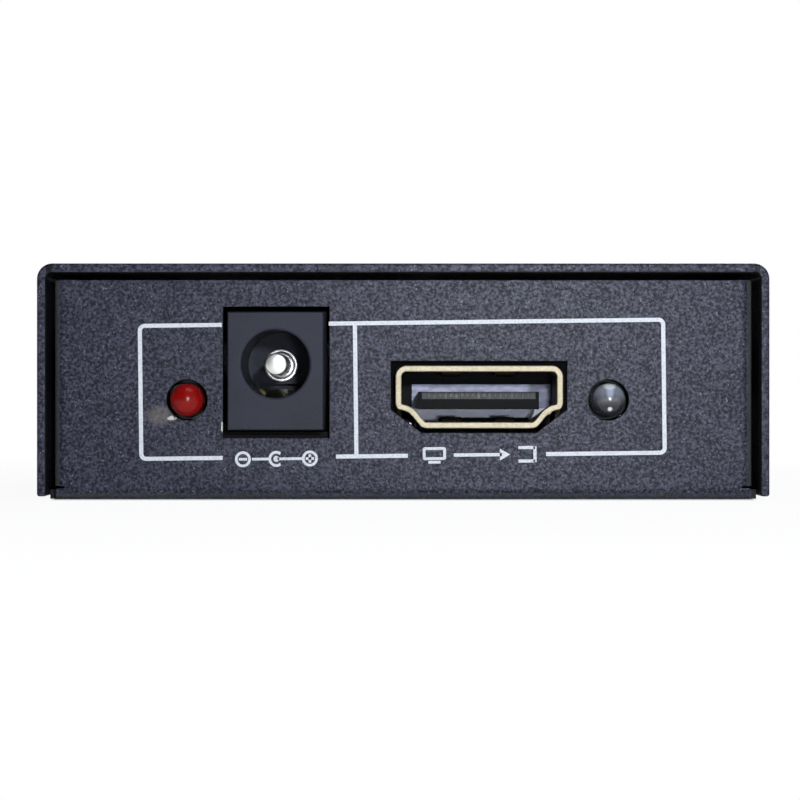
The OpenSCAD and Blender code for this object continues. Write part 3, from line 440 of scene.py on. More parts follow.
def insulator_finish(looks, name):
    """Black tongue in front of a wall of the same black moulding: the wall's middle is painted pale and dull as painted
    light, stopping short of its top and left edges where shadow falls, with painted shade at its right end, more
    painted light under the tongue and faint flow marks.
    """
    f = new_finish(f"{name}_moulding")
    low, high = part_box(f"{name}_socket_insulator")
    front = name == "input"
    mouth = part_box(f"{name}_socket_shell")[0 if front else 1].y
    across = f.axis("X") - low.x if front else high.x - f.axis("X")
    up = f.axis("Z")
    slot = (up < 7.36 * MM) * (across > 3.43 * MM) * (across < 11.76 * MM)
    depth = abs(mouth) - abs(f.axis("Y"))
    # Painted light: the lit part of the wall, short of its top and left edges and the slot, is painted pale.
    behind = (depth > 7.0 * MM) * (across > 0.92 * MM) * (up > 6.95 * MM) * (up < 10.45 * MM) * (1.0 - slot)
    mottle = f.noise(0.5 * MM, 3.0, 0.6, (0.5, 1.0, 1.4))
    fine = f.noise(0.12 * MM)
    wall = f.blend(f.step(mottle, 0.3, 0.7), toned(looks.wall, 0.75), toned(looks.wall, 1.15))
    # Painted shade: the wall's right end is darkened.
    wall = f.blend(0.55 * f.step(across, 11.6 * MM, 12.1 * MM), wall, looks.tongue)
    # Painted light: the wall under the tongue is made paler.
    wall = f.blend(0.5 * (up < 8.2 * MM), wall, (0.95, 0.95, 0.98))
    comb = (abs(up - 9.37 * MM) < 0.29 * MM) * (abs(across - (high.x - low.x) / 2) < 5.15 * MM) * (depth < 4 * MM)
    front_face = f.blend(comb, looks.tongue, (0.1, 0.1, 0.098))
    colour = f.blend(behind, front_face, wall)
    return f.surface(base_color=colour, roughness=0.6 + 0.25 * fine, specular_ior_level=0.15,
                     normal=f.bump(fine, 0.006 * MM, 0.5))


def red_resin_finish(colour):
    """Tinted, cloudy lamp resin."""
    f = new_finish("red_resin")
    flow = f.noise(0.9 * MM)
    fine = f.noise(0.15 * MM)
    shade = f.blend(f.step(flow, 0.3, 0.7), toned(colour, 0.82), colour)
    return f.surface(base_color=shade, roughness=0.2 + 0.1 * fine, subsurface_weight=0.2, specular_ior_level=0.2,
                     subsurface_radius=(1.0, 0.05, 0.03), subsurface_scale=0.7 * MM, ior=1.5)


def clear_resin_finish(name, colour, middle):
    """Clear lamp resin painted with what its dome would show: painted reflection of the sky above, painted shade of the
    dark case below, and painted reflections and highlights of the cone, the cup, the die and the foot.
    """
    f = new_finish(name)
    flow = f.noise(0.7 * MM)
    up = (f.axis("Z") - middle.z) / (1.5 * MM) + 0.5 * (flow - 0.5)
    # Painted light and shade: pale above the middle, dark below it.
    shade = f.blend(f.step(up, -0.5, 0.75), (0.012, 0.013, 0.014), colour)
    painted_glints = {
        "sky": (1.2, 0.7, 0.34, 0.8, (0.75, 0.77, 0.74)), "cone": (0.66, 0.42, 0.75, 0.65, (0.42, 0.47, 0.58)),
        "cup": (0.05, 0.95, 0.3, 0.45, (0.24, 0.22, 0.17)), "die": (0.08, 0.17, 0.17, 0.9, (0.9, 0.9, 0.9)),
        "foot": (-0.82, 0.27, 0.24, 0.9, (0.85, 0.85, 0.83)),
    }
    for height, wide, tall, weight, tone in painted_glints.values():
        shade = f.blend(weight * f.spot(middle.x, middle.z + height * MM, wide * MM, tall * MM), shade, tone)
    return f.surface(base_color=shade, roughness=0.05 + 0.05 * flow, ior=1.52, normal=f.bump(flow, 0.01 * MM, 0.35))


def lead_finish():
    """Tinned steel leads, dark where the lens holds them."""
    f = new_finish("lead_tin")
    fine = f.noise(0.12 * MM, 3.0, 0.6)
    held = f.step(abs(f.axis("Y")), 22.5 * MM, 23.5 * MM)
    colour = f.blend(f.step(fine, 0.3, 0.7), (0.58, 0.58, 0.56), (0.72, 0.72, 0.7))
    return f.surface(base_color=f.blend(held, colour, (0.004, 0.004, 0.004)), metallic=1.0, roughness=0.25 + 0.2 * fine)


def board_finish(looks):
    """Green lacquer with tracks under it; faces that are not flat are painted near black as painted shade."""
    f = new_finish("board_lacquer")
    rows = f.node("ShaderNodeTexBrick", {
        "Vector": f.place(), "Scale": 1.0 / (3.0 * MM), "Color1": BLACK,
        "Color2": WHITE, "Mortar": (0.4, 0.4, 0.4), "Mortar Size": 0.04}, "Color", offset=0.5)
    cloud = f.noise(4 * MM)
    fine = f.noise(0.15 * MM)
    track = f.blend(0.65, rows, f.blend(cloud, BLACK, WHITE))
    tracks = f.node("ShaderNodeRGBToBW", {"Color": track})
    # Painted shade: the board's edges and any upright faces are made near black.
    flat = abs(f.part(f.node("ShaderNodeNewGeometry", output="Normal"), "Z")) > 0.5
    lacquer = f.blend(f.step(tracks, 0.3, 0.6), looks.mask, looks.copper)
    return f.surface(base_color=f.blend(flat, (0.006, 0.006, 0.005), lacquer), specular_ior_level=0.2,
                     roughness=0.9 - flat * (0.6 - 0.15 * fine), normal=f.bump(tracks, 0.02 * MM, 0.4))


def mesh_piece(name, bm, material, body=BODY, replaces=(), crease=35.0, extra=()):
    """Puts a finished bmesh into the scene as one piece on a CAD body."""
    for face in bm.faces:
        face.smooth = True
    for edge in bm.edges:
        edge.smooth = not (edge.is_manifold and edge.calc_face_angle() > math.radians(crease))
    mesh = bpy.data.meshes.new(name)
    bm.to_mesh(mesh)
    bm.free()
    for finish in (material, *extra):
        mesh.materials.append(finish)
    piece = linked(name, mesh)
    even = piece.modifiers.new("even_normals", "WEIGHTED_NORMAL")
    even.weight = 100
    even.keep_sharp = True
    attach(piece, body)
    if replaces:
        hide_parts(*replaces)
    return piece


def softened(node, width, planes, segments=3, shape=None):
    """A merged copy of a CAD node whose hard edges in the named planes are rounded."""
    bm = bmesh.new()
    bm.from_mesh(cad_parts[node].data)
    bmesh.ops.remove_doubles(bm, verts=bm.verts, dist=1e-7)
    if shape:
        shape(bm)
    bmesh.ops.dissolve_limit(bm, angle_limit=math.radians(0.4), verts=bm.verts, edges=bm.edges)
    near = 2e-6
    rims = [e for e in bm.edges if e.is_manifold and e.calc_face_angle() > math.radians(30) and any(
        all(abs(v.co[axis] - at) < near for v in e.verts) for axis, at in planes)]
    if not rims:
        raise RuntimeError(f"{node}: no edge lies in the planes to be rounded")
    bmesh.ops.bevel(bm, geom=rims, offset=width, offset_type="OFFSET", affect="EDGES", segments=segments,
                    profile=0.5, material=-1, clamp_overlap=False)
    bmesh.ops.remove_doubles(bm, verts=bm.verts, dist=1e-7)
    return bm


def paint_node(node, material):
    """Gives a carried-over CAD node a finish of its own."""
    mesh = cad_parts[node].data
    mesh.materials.clear()
    mesh.materials.append(material)


def plate(bm, middle, width, height):
    """One flat rectangle of ink."""
    where = Matrix.Translation((*middle, 0)) @ Matrix.Diagonal((width, height, 1, 1))
    return bmesh.ops.create_grid(bm, x_segments=1, y_segments=1, size=0.5, matrix=where)["verts"]


def disc(bm, middle, radius, segments=40, turn=0.0):
    where = Matrix.Translation((*middle, 0)) @ Matrix.Rotation(turn, 4, "Z")
    return bmesh.ops.create_circle(bm, cap_ends=True, radius=radius, segments=segments, matrix=where)["verts"]


def hollow(bm, verts, line):
    """Leaves only a rim, as wide as a line, of the flat face between these vertices."""
    face = next(f for f in bm.faces if set(f.verts) == set(verts))
    bmesh.ops.inset_region(bm, faces=[face], thickness=line, use_boundary=True, use_even_offset=True)
    bmesh.ops.delete(bm, geom=[face], context="FACES_ONLY")


def rounded_ring(bm, low, high, line, radius):
    """A rectangle drawn with one line, its corners rounded."""
    middle = ((low[0] + high[0]) / 2, (low[1] + high[1]) / 2)
    corners = plate(bm, middle, high[0] - low[0], high[1] - low[1])
    made = bmesh.ops.bevel(bm, geom=corners, offset=radius, offset_type="OFFSET", affect="VERTICES", segments=8,
                           profile=0.5, material=-1)
    face = next(f for f in bm.faces if set(made["verts"]) <= set(f.verts))
    hollow(bm, list(face.verts), line)


def cut_gap(bm, x_low, x_high, y_low, y_high):
    """Takes ink away between two lines across X, within a range of Y."""
    for x in (x_low, x_high):
        sliced(bm, (x, 0, 0), (1, 0, 0), 1e-9)
    gone = []
    for face in bm.faces:
        middle = face.calc_center_median()
        if x_low < middle.x < x_high and y_low < middle.y < y_high:
            gone.append(face)
    bmesh.ops.delete(bm, geom=gone, context="FACES")


def polarity_sign(bm, middle, half, line):
    """Minus and plus rings at either side of a split ring round a dot: which way the plug is wired."""
    x, y = middle
    radius = 0.72 * MM
    for side in (-1, 1):
        centre = (x + side * (half - radius), y)
        hollow(bm, disc(bm, centre, radius), line)
        plate(bm, centre, 0.75 * MM, line)
    plate(bm, (x + half - radius, y), line, 0.75 * MM)
    ring = bmesh.new()
    hollow(ring, disc(ring, (x, y), radius), line)
    cut_gap(ring, x + 0.35 * MM, x + radius + line, y - 0.5 * MM, y + 0.5 * MM)
    merge_into(bm, ring)
    disc(bm, (x, y), 0.27 * MM)
    run = half - 2 * radius - 0.1 * MM
    plate(bm, (x + run / 2 + 0.1 * MM, y), run, line)
    plate(bm, (x - radius - (run - radius) / 2, y), run - radius, line)


def merge_into(bm, other):
    """Adds another bmesh to this one."""
    spare = bpy.data.meshes.new("spare")
    other.to_mesh(spare)
    other.free()
    bm.from_mesh(spare)
    bpy.data.meshes.remove(spare)


def arrow(bm, tail, head, thick):
    """A plain arrow along X from tail to head."""
    way = 1 if head[0] > tail[0] else -1
    tip = 0.62 * MM
    shaft = abs(head[0] - tail[0]) - 1.2 * tip
    plate(bm, (tail[0] + way * shaft / 2, tail[1]), shaft, thick)
    disc(bm, (head[0] - way * tip, head[1]), tip, 3, -way * math.pi / 2)


def screen_sign(bm, middle, line):
    """A small screen on its foot."""
    x, y = middle
    rounded_ring(bm, (x - 1.05 * MM, y - 0.42 * MM), (x + 1.05 * MM, y + 0.74 * MM), line, 0.2 * MM)
    plate(bm, (x, y - 0.62 * MM), 1.1 * MM, line)


def bracket_sign(bm, middle, way, line):
    """Three sides of a box that is open towards the arrow."""
    x, y = middle
    plate(bm, (x + way * 0.75 * MM, y), line, 1.44 * MM)
    for side in (-1, 1):
        plate(bm, (x, y + side * 0.61 * MM), 1.5 * MM, line)


def numeral(bm, text, middle, size):
    """A plain number, filled flat."""
    curve = bpy.data.curves.new("numeral", "FONT")
    curve.body = text
    curve.size = size
    curve.align_x = curve.align_y = "CENTER"
    holder = linked("numeral", curve)
    flat = bpy.data.meshes.new_from_object(holder)
    flat.transform(Matrix.Translation((*middle, 0)))
    bm.from_mesh(flat)
    bpy.data.objects.remove(holder)
    bpy.data.curves.remove(curve)
    bpy.data.meshes.remove(flat)


def ink_on_panel(bm, looks, front):
    """Gives flat ink its thickness and lays it on the front or the rear panel."""
    joined(bm)
    raised = bmesh.ops.extrude_face_region(bm, geom=bm.faces[:])["geom"]
    bmesh.ops.translate(bm, verts=only(BMVert, raised), vec=(0, 0, looks.lift + 0.01 * MM))
    bmesh.ops.recalc_face_normals(bm, faces=bm.faces)
    stand = Matrix.Translation((0, TRAY_LOW.y + 0.01 * MM, 0)) @ Matrix.Rotation(math.pi / 2, 4, "X")
    if not front:
        stand = Matrix.Rotation(math.pi, 4, "Z") @ stand
    bmesh.ops.transform(bm, matrix=stand, verts=bm.verts)


def full_turn(bm, steps):
    """Spins the line that is drawn a full turn round Z."""
    bmesh.ops.spin(bm, geom=bm.verts[:] + bm.edges[:], axis=(0, 0, 1), angle=2 * math.pi, steps=steps, use_merge=True)
    joined(bm)


class SPLITTER_OT_case(bpy.types.Operator):
    """Round the edges of the cover, the tray and the screws, and paint them"""

    bl_idname = "splitter.case"
    bl_label = "Painted case"

    def execute(self, context):
        looks = context.scene.splitter_case
        paint = textured_paint(looks)
        rims = [(1, COVER_LOW.y), (1, COVER_HIGH.y), (2, COVER_LOW.z)]
        cover = softened("top_cover", looks.edge_round, rims)
        mesh_piece("cover_painted", cover, paint, replaces=["top_cover"])
        rims = [(1, TRAY_LOW.y), (1, TRAY_HIGH.y), (2, TRAY_HIGH.z)]
        tray = softened("chassis_tray", looks.hole_round, rims, shape=self.floor_sides)
        mesh_piece("tray_painted", tray, paint, replaces=["chassis_tray"])
        low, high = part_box("case_screws")
        steel = metal_finish("blackened_steel", looks.screw_black, 0.42, 0.08 * MM, 0.3)
        screws = softened("case_screws", looks.screw_round, [(0, low.x), (0, high.x)], 2)
        mesh_piece("screws_blackened", screws, steel, replaces=["case_screws"])
        return {"FINISHED"}

    def floor_sides(self, bm):
        """Brings the floor's long edges up to the cover, so that no light falls through beside them."""
        reach = COVER_HIGH.x - SHEET - 0.03 * MM
        for v in bm.verts:
            if v.co.z < SHEET and abs(v.co.x) > TRAY_HIGH.x - 1e-6:
                v.co.x = math.copysign(reach, v.co.x)


class SPLITTER_OT_print(bpy.types.Operator):
    """Lay the white frames and symbols on the two end panels"""

    bl_idname = "splitter.print"
    bl_label = "Print"

    def execute(self, context):
        looks = context.scene.splitter_print
        ink = ink_finish(looks, context.scene.splitter_case)
        line = looks.line
        screen_line, box_line, arrow_line, sign_z = 0.25 * MM, 0.28 * MM, 0.3 * MM, 3.95 * MM
        bm = bmesh.new()
        low, high = Vector((-23.94, 3.76)) * MM, Vector((23.77, 16.16)) * MM
        rounded_ring(bm, low, high, line, looks.corner)
        cut_gap(bm, -16.32 * MM, -6.66 * MM, 10 * MM, 18 * MM)
        cut_gap(bm, -16.4 * MM, -6.15 * MM, 0, 6 * MM)
        cut_gap(bm, 0.35 * MM, 12.85 * MM, 0, 6 * MM)
        plate(bm, (-4.3 * MM, (low.y + high.y) / 2), line, high.y - low.y - 1.98 * line)
        polarity_sign(bm, (-11.54 * MM, 3.8 * MM), 3.75 * MM, 0.24 * MM)
        screen_sign(bm, (2.75 * MM, sign_z), screen_line)
        arrow(bm, (4.5 * MM, sign_z), (9.6 * MM, sign_z), arrow_line)
        bracket_sign(bm, (11.1 * MM, sign_z), 1, box_line)
        middle = (low + high) / 2
        about = Matrix.Translation((*middle, 0))
        bmesh.ops.transform(bm, matrix=about @ Matrix.Rotation(looks.tilt, 4, "Z") @ about.inverted(), verts=bm.verts)
        ink_on_panel(bm, looks, True)
        mesh_piece("front_print", bm, ink)

        bm = bmesh.new()
        low, high = Vector((-23.6, 3.83)) * MM, Vector((24.4, 15.94)) * MM
        rounded_ring(bm, low, high, line, looks.corner)
        outputs = ((-14.0, "1"), (9.6, "2"))
        for x, _ in outputs:
            cut_gap(bm, (x - 5.4) * MM, (x + 5.4) * MM, 0, 6 * MM)
        plate(bm, (-0.6 * MM, (low.y + high.y) / 2), line, high.y - low.y - 1.98 * line)
        for x, number in outputs:
            numeral(bm, number, ((x - 4.1) * MM, sign_z), 2.1 * MM)
            bracket_sign(bm, ((x - 1.6) * MM, sign_z), -1, box_line)
            arrow(bm, ((x - 1.4) * MM, sign_z), ((x + 1.7) * MM, sign_z), arrow_line)
            screen_sign(bm, ((x + 3.4) * MM, sign_z), screen_line)
        ink_on_panel(bm, looks, False)
        mesh_piece("rear_print", bm, ink)
        return {"FINISHED"}


class SPLITTER_OT_sockets(bpy.types.Operator):
    """Round the lips of the video sockets and plate them, and finish their tongues and contacts"""

    bl_idname = "splitter.sockets"
    bl_label = "Video sockets"

    def execute(self, context):
        looks = context.scene.splitter_socket
        plate_metal = shell_finish(looks)
        # Black foam as painted shade behind the gaps round the sockets.
        foam = plastic_finish("gasket_foam", (0.004, 0.004, 0.004), 0.95, 0.2 * MM, 0.05 * MM, 0.4, 0.05)
        # Contact plating darkened by painted shade.
        contact = metal_finish("contact_plate", looks.contact, 0.62, 0.1 * MM, 0.25)
        for name in SOCKETS:
            low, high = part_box(f"{name}_socket_shell")
            mouth = low.y if name == "input" else high.y
            shell = softened(f"{name}_socket_shell", looks.lip_round, [(1, mouth)], shape=self.waist)
            mesh_piece(f"{name}_shell_plated", shell, plate_metal, replaces=[f"{name}_socket_shell"])
            mesh_piece(f"{name}_gasket", self.shade_gasket((low.x + high.x) / 2, name == "input"), foam)
            paint_node(f"{name}_socket_insulator", insulator_finish(looks, name))
            paint_node(f"{name}_socket_contacts", contact)
        return {"FINISHED"}

    def waist(self, bm):
        """Bends the slope at each lower corner of the mouth into a shallow S that fades out behind the lip."""
        low, high = (Vector([pick(v.co[i] for v in bm.verts) for i in range(3)]) for pick in (min, max))
        centre = (low.x + high.x) / 2
        front = low.y < 0
        mouth = low.y if front else high.y
        corner, foot, rise, run = 4.85 * MM, 6.99 * MM, 1.6 * MM, 2.15 * MM
        slope = math.hypot(rise, run)
        fade_from, fade_to, deep = 0.7 * MM, 2.4 * MM, bpy.context.scene.splitter_socket.waist
        over, beneath, low_bias, strips = 0.1 * MM, 0.75 * MM, 1.45, 9
        cuts = [(Vector((centre + side * (corner + run * i / strips), 0, 0)), Vector((1, 0, 0)))
                for side in (-1, 1) for i in range(strips + 1)]
        cuts += [(Vector((0, mouth + (1 if front else -1) * fade_to, 0)), Vector((0, 1, 0)))]
        for point, way in cuts:
            sliced(bm, point, way, 1e-7)
        for v in bm.verts:
            dx, dz = abs(v.co.x - centre) - corner, v.co.z - foot
            along, off = (dx * run + dz * rise) / slope, (dz * run - dx * rise) / slope
            if not (0 < along < slope and -beneath < off < over):
                continue
            fade = clamp((fade_to - abs(v.co.y - mouth)) / (fade_to - fade_from), 0, 1)
            push = deep * fade * math.sin(math.pi * (along / slope) ** low_bias)
            v.co.x -= math.copysign(push * rise / slope, v.co.x - centre)
            v.co.z += push * run / slope

    def shade_gasket(self, x, front):
        """Black foam behind the panel, above and beside a shell: a dark sheet that stands in for the shade seen through
        the gaps round the shell's cut-out.
        """
        inner, outer, foot, top, crest = 7.45, 8.6, 6.15, 12.0, 13.1
        near, far = 24.95, 25.62
        bars = [(-outer, outer, top, crest), (-outer, -inner, foot, top), (inner, outer, foot, top)]
        y = -(near + far) / 2 if front else (near + far) / 2
        bm = bmesh.new()
        for left, right, low, high in bars:
            middle = Vector(((left + right) / 2, y, (low + high) / 2)) * MM
            size = Vector((right - left, far - near, high - low)) * MM
            where = Matrix.Translation(middle + Vector((x, 0, 0))) @ Matrix.Diagonal((*size, 1))
            bmesh.ops.create_cube(bm, size=1.0, matrix=where)
        return bm


class SPLITTER_OT_jack(bpy.types.Operator):
    """Round the power jack's face, plate its pin and bend its crowned leaf"""

    bl_idname = "splitter.jack"
    bl_label = "Power jack"

    def execute(self, context):
        looks = context.scene.splitter_jack
        plastic = plastic_finish("jack_moulding", looks.plastic, 0.62, 0.3 * MM, 0.006 * MM, 0.35, 0.3)
        housing = softened("jack_housing", looks.face_round, [(1, JACK_LOW.y)], shape=self.draft)
        mesh_piece("jack_moulded", housing, plastic, replaces=["jack_housing"])
        nickel = metal_finish("pin_nickel", looks.nickel, 0.3, 0.1 * MM, 0.12)
        brass = metal_finish("leaf_brass", looks.brass, 0.3, 0.1 * MM, 0.25)
        tin = metal_finish("jack_tin", (0.72, 0.72, 0.7), 0.35)
        mesh_piece("jack_pin_turned", self.pin(), nickel, replaces=["jack_centre_pin"])
        # Painted shade: the leaf and the switch contact get darkened brass.
        shaded_brass = metal_finish("brass_painted_shade", looks.tarnish_and_shade, 0.5, 0.1 * MM, 0.4)
        paint_node("jack_sleeve_terminal", brass)
        paint_node("jack_switch_contact", shaded_brass)
        paint_node("jack_pin_terminal", tin)
        mesh_piece("leaf_crowned", self.leaf(looks), shaded_brass, LEAF_BODY, ["jack_sleeve_spring"], 50)
        return {"FINISHED"}

    def draft(self, bm):
        """Leans the front block's sides in towards its face, as a moulding is shaped to leave its mould."""
        lean = bpy.context.scene.splitter_jack.lean
        middle = (JACK_LOW + JACK_HIGH) / 2
        for v in bm.verts:
            if v.co.y > JACK_LOW.y + 1e-6:
                continue
            for axis in (0, 2):
                if min(v.co[axis] - JACK_LOW[axis], JACK_HIGH[axis] - v.co[axis]) < 1e-6:
                    v.co[axis] += lean if v.co[axis] < middle[axis] else -lean

    def pin(self):
        """The centre pin: rounded tip, shank, two soft steps at its root and the stem to its rivet head."""
        tip, root = PIN_LOW.y, JACK_LOW.y + 10 * MM
        end = PIN_HIGH.y
        collar = (PIN_HIGH.x - PIN_LOW.x) / 2
        shank, stem, soft = 1.0 * MM, 0.7 * MM, 0.14 * MM
        inner = 0.82 * collar
        points = [(0, 0), (shank - 0.22 * MM, 0), (shank - 0.06 * MM, 0.07 * MM), (shank, 0.22 * MM)]
        base = root - tip
        points += [(shank, base - 0.62 * MM), (inner - soft, base - 0.6 * MM), (inner - 0.3 * soft, base - 0.56 * MM),
                   (inner, base - 0.46 * MM), (inner, base - 0.34 * MM), (collar - soft, base - 0.36 * MM),
                   (collar - 0.3 * soft, base - 0.32 * MM), (collar, base - 0.22 * MM), (collar, base), (stem, base),
                   (stem, end - tip), (0, end - tip)]
        bm = bmesh.new()
        verts = [bm.verts.new((r, 0, h)) for r, h in points]
        for pair in zip(verts, verts[1:]):
            bm.edges.new(pair)
        full_turn(bm, 56)
        put = Matrix.Translation(((PIN_LOW.x + PIN_HIGH.x) / 2, tip, (PIN_LOW.z + PIN_HIGH.z) / 2))
        bmesh.ops.transform(bm, matrix=put @ Matrix.Rotation(-math.pi / 2, 4, "X"), verts=bm.verts)
        return bm

    def leaf(self, looks):
        """The sprung leaf: rolled root, slope, bump and free end, its middle higher than its edges."""
        bm = bmesh.new()
        x_low, x_high = LEAF_LOW.x, LEAF_HIGH.x
        middle, half = (x_low + x_high) / 2, (x_high - x_low) / 2
        sheet = looks.leaf_sheet
        root = Vector((0, JACK_LOW.y + 5.0 * MM, 8.3 * MM))
        roll = root.z - LEAF_LOW.z - sheet / 2
        bump_top = LEAF_HIGH.z
        across = 8
        row = []
        for i in range(across + 1):
            t = 2 * i / across - 1
            row.append(bm.verts.new((middle + t * half, root.y, root.z - roll)))
        edges = [bm.edges.new(pair) for pair in zip(row, row[1:])]
        turned = bmesh.ops.spin(bm, geom=row + edges, axis=(1, 0, 0), cent=root,
                                angle=-math.radians(260), steps=18, use_merge=False)
        ends = only(BMEdge, turned["geom_last"])
        path = [
            (6.2, root.z + 0.42 * MM), (7.6, root.z + 1.2 * MM), (8.35, bump_top - sheet * 0.62),
            (8.6, bump_top - sheet / 2), (8.85, bump_top - sheet * 0.75), (9.3, bump_top - 0.95 * MM),
            (10.6, bump_top - 1.0 * MM),
        ]
        for depth, z in path:
            made = bmesh.ops.extrude_edge_only(bm, edges=ends)["geom"]
            fresh = only(BMVert, made)
            for v in fresh:
                v.co.y, v.co.z = JACK_LOW.y + depth * MM, z
            ends = [e for e in only(BMEdge, made) if all(v in fresh for v in e.verts)]
        for v in bm.verts:
            t = (v.co.x - middle) / half
            past_root = clamp((v.co.y - root.y - roll) / MM, 0, 1)
            v.co.z -= looks.crown * t * t * past_root
        joined(bm)
        lowest = min(bm.faces, key=lambda face: face.calc_center_median().z)
        if lowest.normal.z > 0:
            bmesh.ops.reverse_faces(bm, faces=bm.faces[:])
        bm.normal_update()
        for v, outward in [(v, v.normal.copy()) for v in bm.verts]:
            v.co += outward * sheet * 0.45
        bmesh.ops.solidify(bm, geom=bm.faces[:], thickness=sheet * 0.9)
        for v in bm.verts:
            v.co.x = clamp(v.co.x, x_low, x_high)
        bmesh.ops.recalc_face_normals(bm, faces=bm.faces)
        return bm


class SPLITTER_OT_lamps(bpy.types.Operator):
    """Turn the four lamp lenses and finish their leads"""

    bl_idname = "splitter.lamps"
    bl_label = "Lamps"

    def execute(self, context):
        looks = context.scene.splitter_lamp
        red = red_resin_finish(looks.red)
        lead = lead_finish()
        # Painted shade: the lens's rim and foot get a dark matte finish in place of resin in shadow.
        foot = plastic_finish("lamp_foot_shade", (0.03, 0.03, 0.03), 0.6)
        for name in ("power", *SOCKETS):
            low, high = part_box(f"{name}_lamp_lens")
            tinted = name == "power"
            resin = red if tinted else clear_resin_finish(f"{name}_clear_resin", looks.clear, (low + high) / 2)
            mesh_piece(f"{name}_lens_turned", self.lens(looks, f"{name}_lamp_lens"), resin,
                       replaces=[f"{name}_lamp_lens"], extra=[foot])
            paint_node(f"{name}_lamp_leads", lead)
        return {"FINISHED"}

    def lens(self, looks, node):
        """A domed lens with a rim at its foot, its tip outwards."""
        low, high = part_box(node)
        front = low.y < 0
        tall = high.y - low.y
        rim = (high.x - low.x) / 2
        radius = 1.5 * MM
        bm = bmesh.new()
        tip = bm.verts.new((0, 0, tall))
        arc = bmesh.ops.spin(bm, geom=[tip], axis=(0, 1, 0), cent=(0, 0, tall - radius),
                             angle=math.pi / 2, steps=looks.dome_steps)
        ends = only(BMVert, arc["geom_last"])
        soft, ledge = 0.12 * MM, 1.0 * MM
        steps = [(radius, ledge + soft), (radius + soft, ledge), (rim - soft, ledge), (rim, ledge - soft),
                 (rim, soft), (rim - soft, 0), (0, 0)]
        for r, h in steps:
            made = bmesh.ops.extrude_vert_indiv(bm, verts=ends)
            ends = made["verts"]
            ends[0].co = (r, 0, h)
        full_turn(bm, looks.turn_steps)
        bmesh.ops.dissolve_degenerate(bm, edges=bm.edges, dist=1e-9)
        bmesh.ops.recalc_face_normals(bm, faces=bm.faces)
        # Painted shade: faces of the rim and foot take the dark second material.
        for face in bm.faces:
            face.material_index = int(face.calc_center_median().z < ledge + soft)
        foot = high.y if front else low.y
        aim = Matrix.Rotation(math.pi / 2 if front else -math.pi / 2, 4, "X")
        put = Matrix.Translation(((low.x + high.x) / 2, foot, (low.z + high.z) / 2))
        bmesh.ops.transform(bm, matrix=put @ aim, verts=bm.verts)
        return bm


class SPLITTER_OT_board(bpy.types.Operator):
    """Finish the circuit board, its parts and its fasteners"""

    bl_idname = "splitter.board"
    bl_label = "Circuit board"

    def execute(self, context):
        looks = context.scene.splitter_board
        zinc = metal_finish("zinc_plate", looks.zinc, 0.32, 0.15 * MM, 0.18)
        tin = metal_finish("solder_tin", looks.tin, 0.35)
        moulding = plastic_finish("chip_moulding", looks.moulding, 0.5, 0.06 * MM, 0.006 * MM)
        finishes = {
            board_finish(looks): ["circuit_board"],
            zinc: ["board_standoffs", "board_screws", "clock_crystal"],
            tin: ["splitter_chip_leads", "memory_chip_leads", "voltage_regulator_leads", "chip_end_caps"],
            moulding: ["splitter_chip", "memory_chip", "voltage_regulator", "capacitor_bases", "chip_resistors",
                       "surge_arrays", "input_diode"],
            plastic_finish("capacitor_ceramic", looks.ceramic, 0.45, 0.08 * MM): ["chip_capacitors"],
            metal_finish("can_aluminium", looks.aluminium, 0.28, 0.2 * MM, 0.12): ["capacitor_cans"],
        }
        for material, nodes in finishes.items():
            for node in nodes:
                paint_node(node, material)
        return {"FINISHED"}


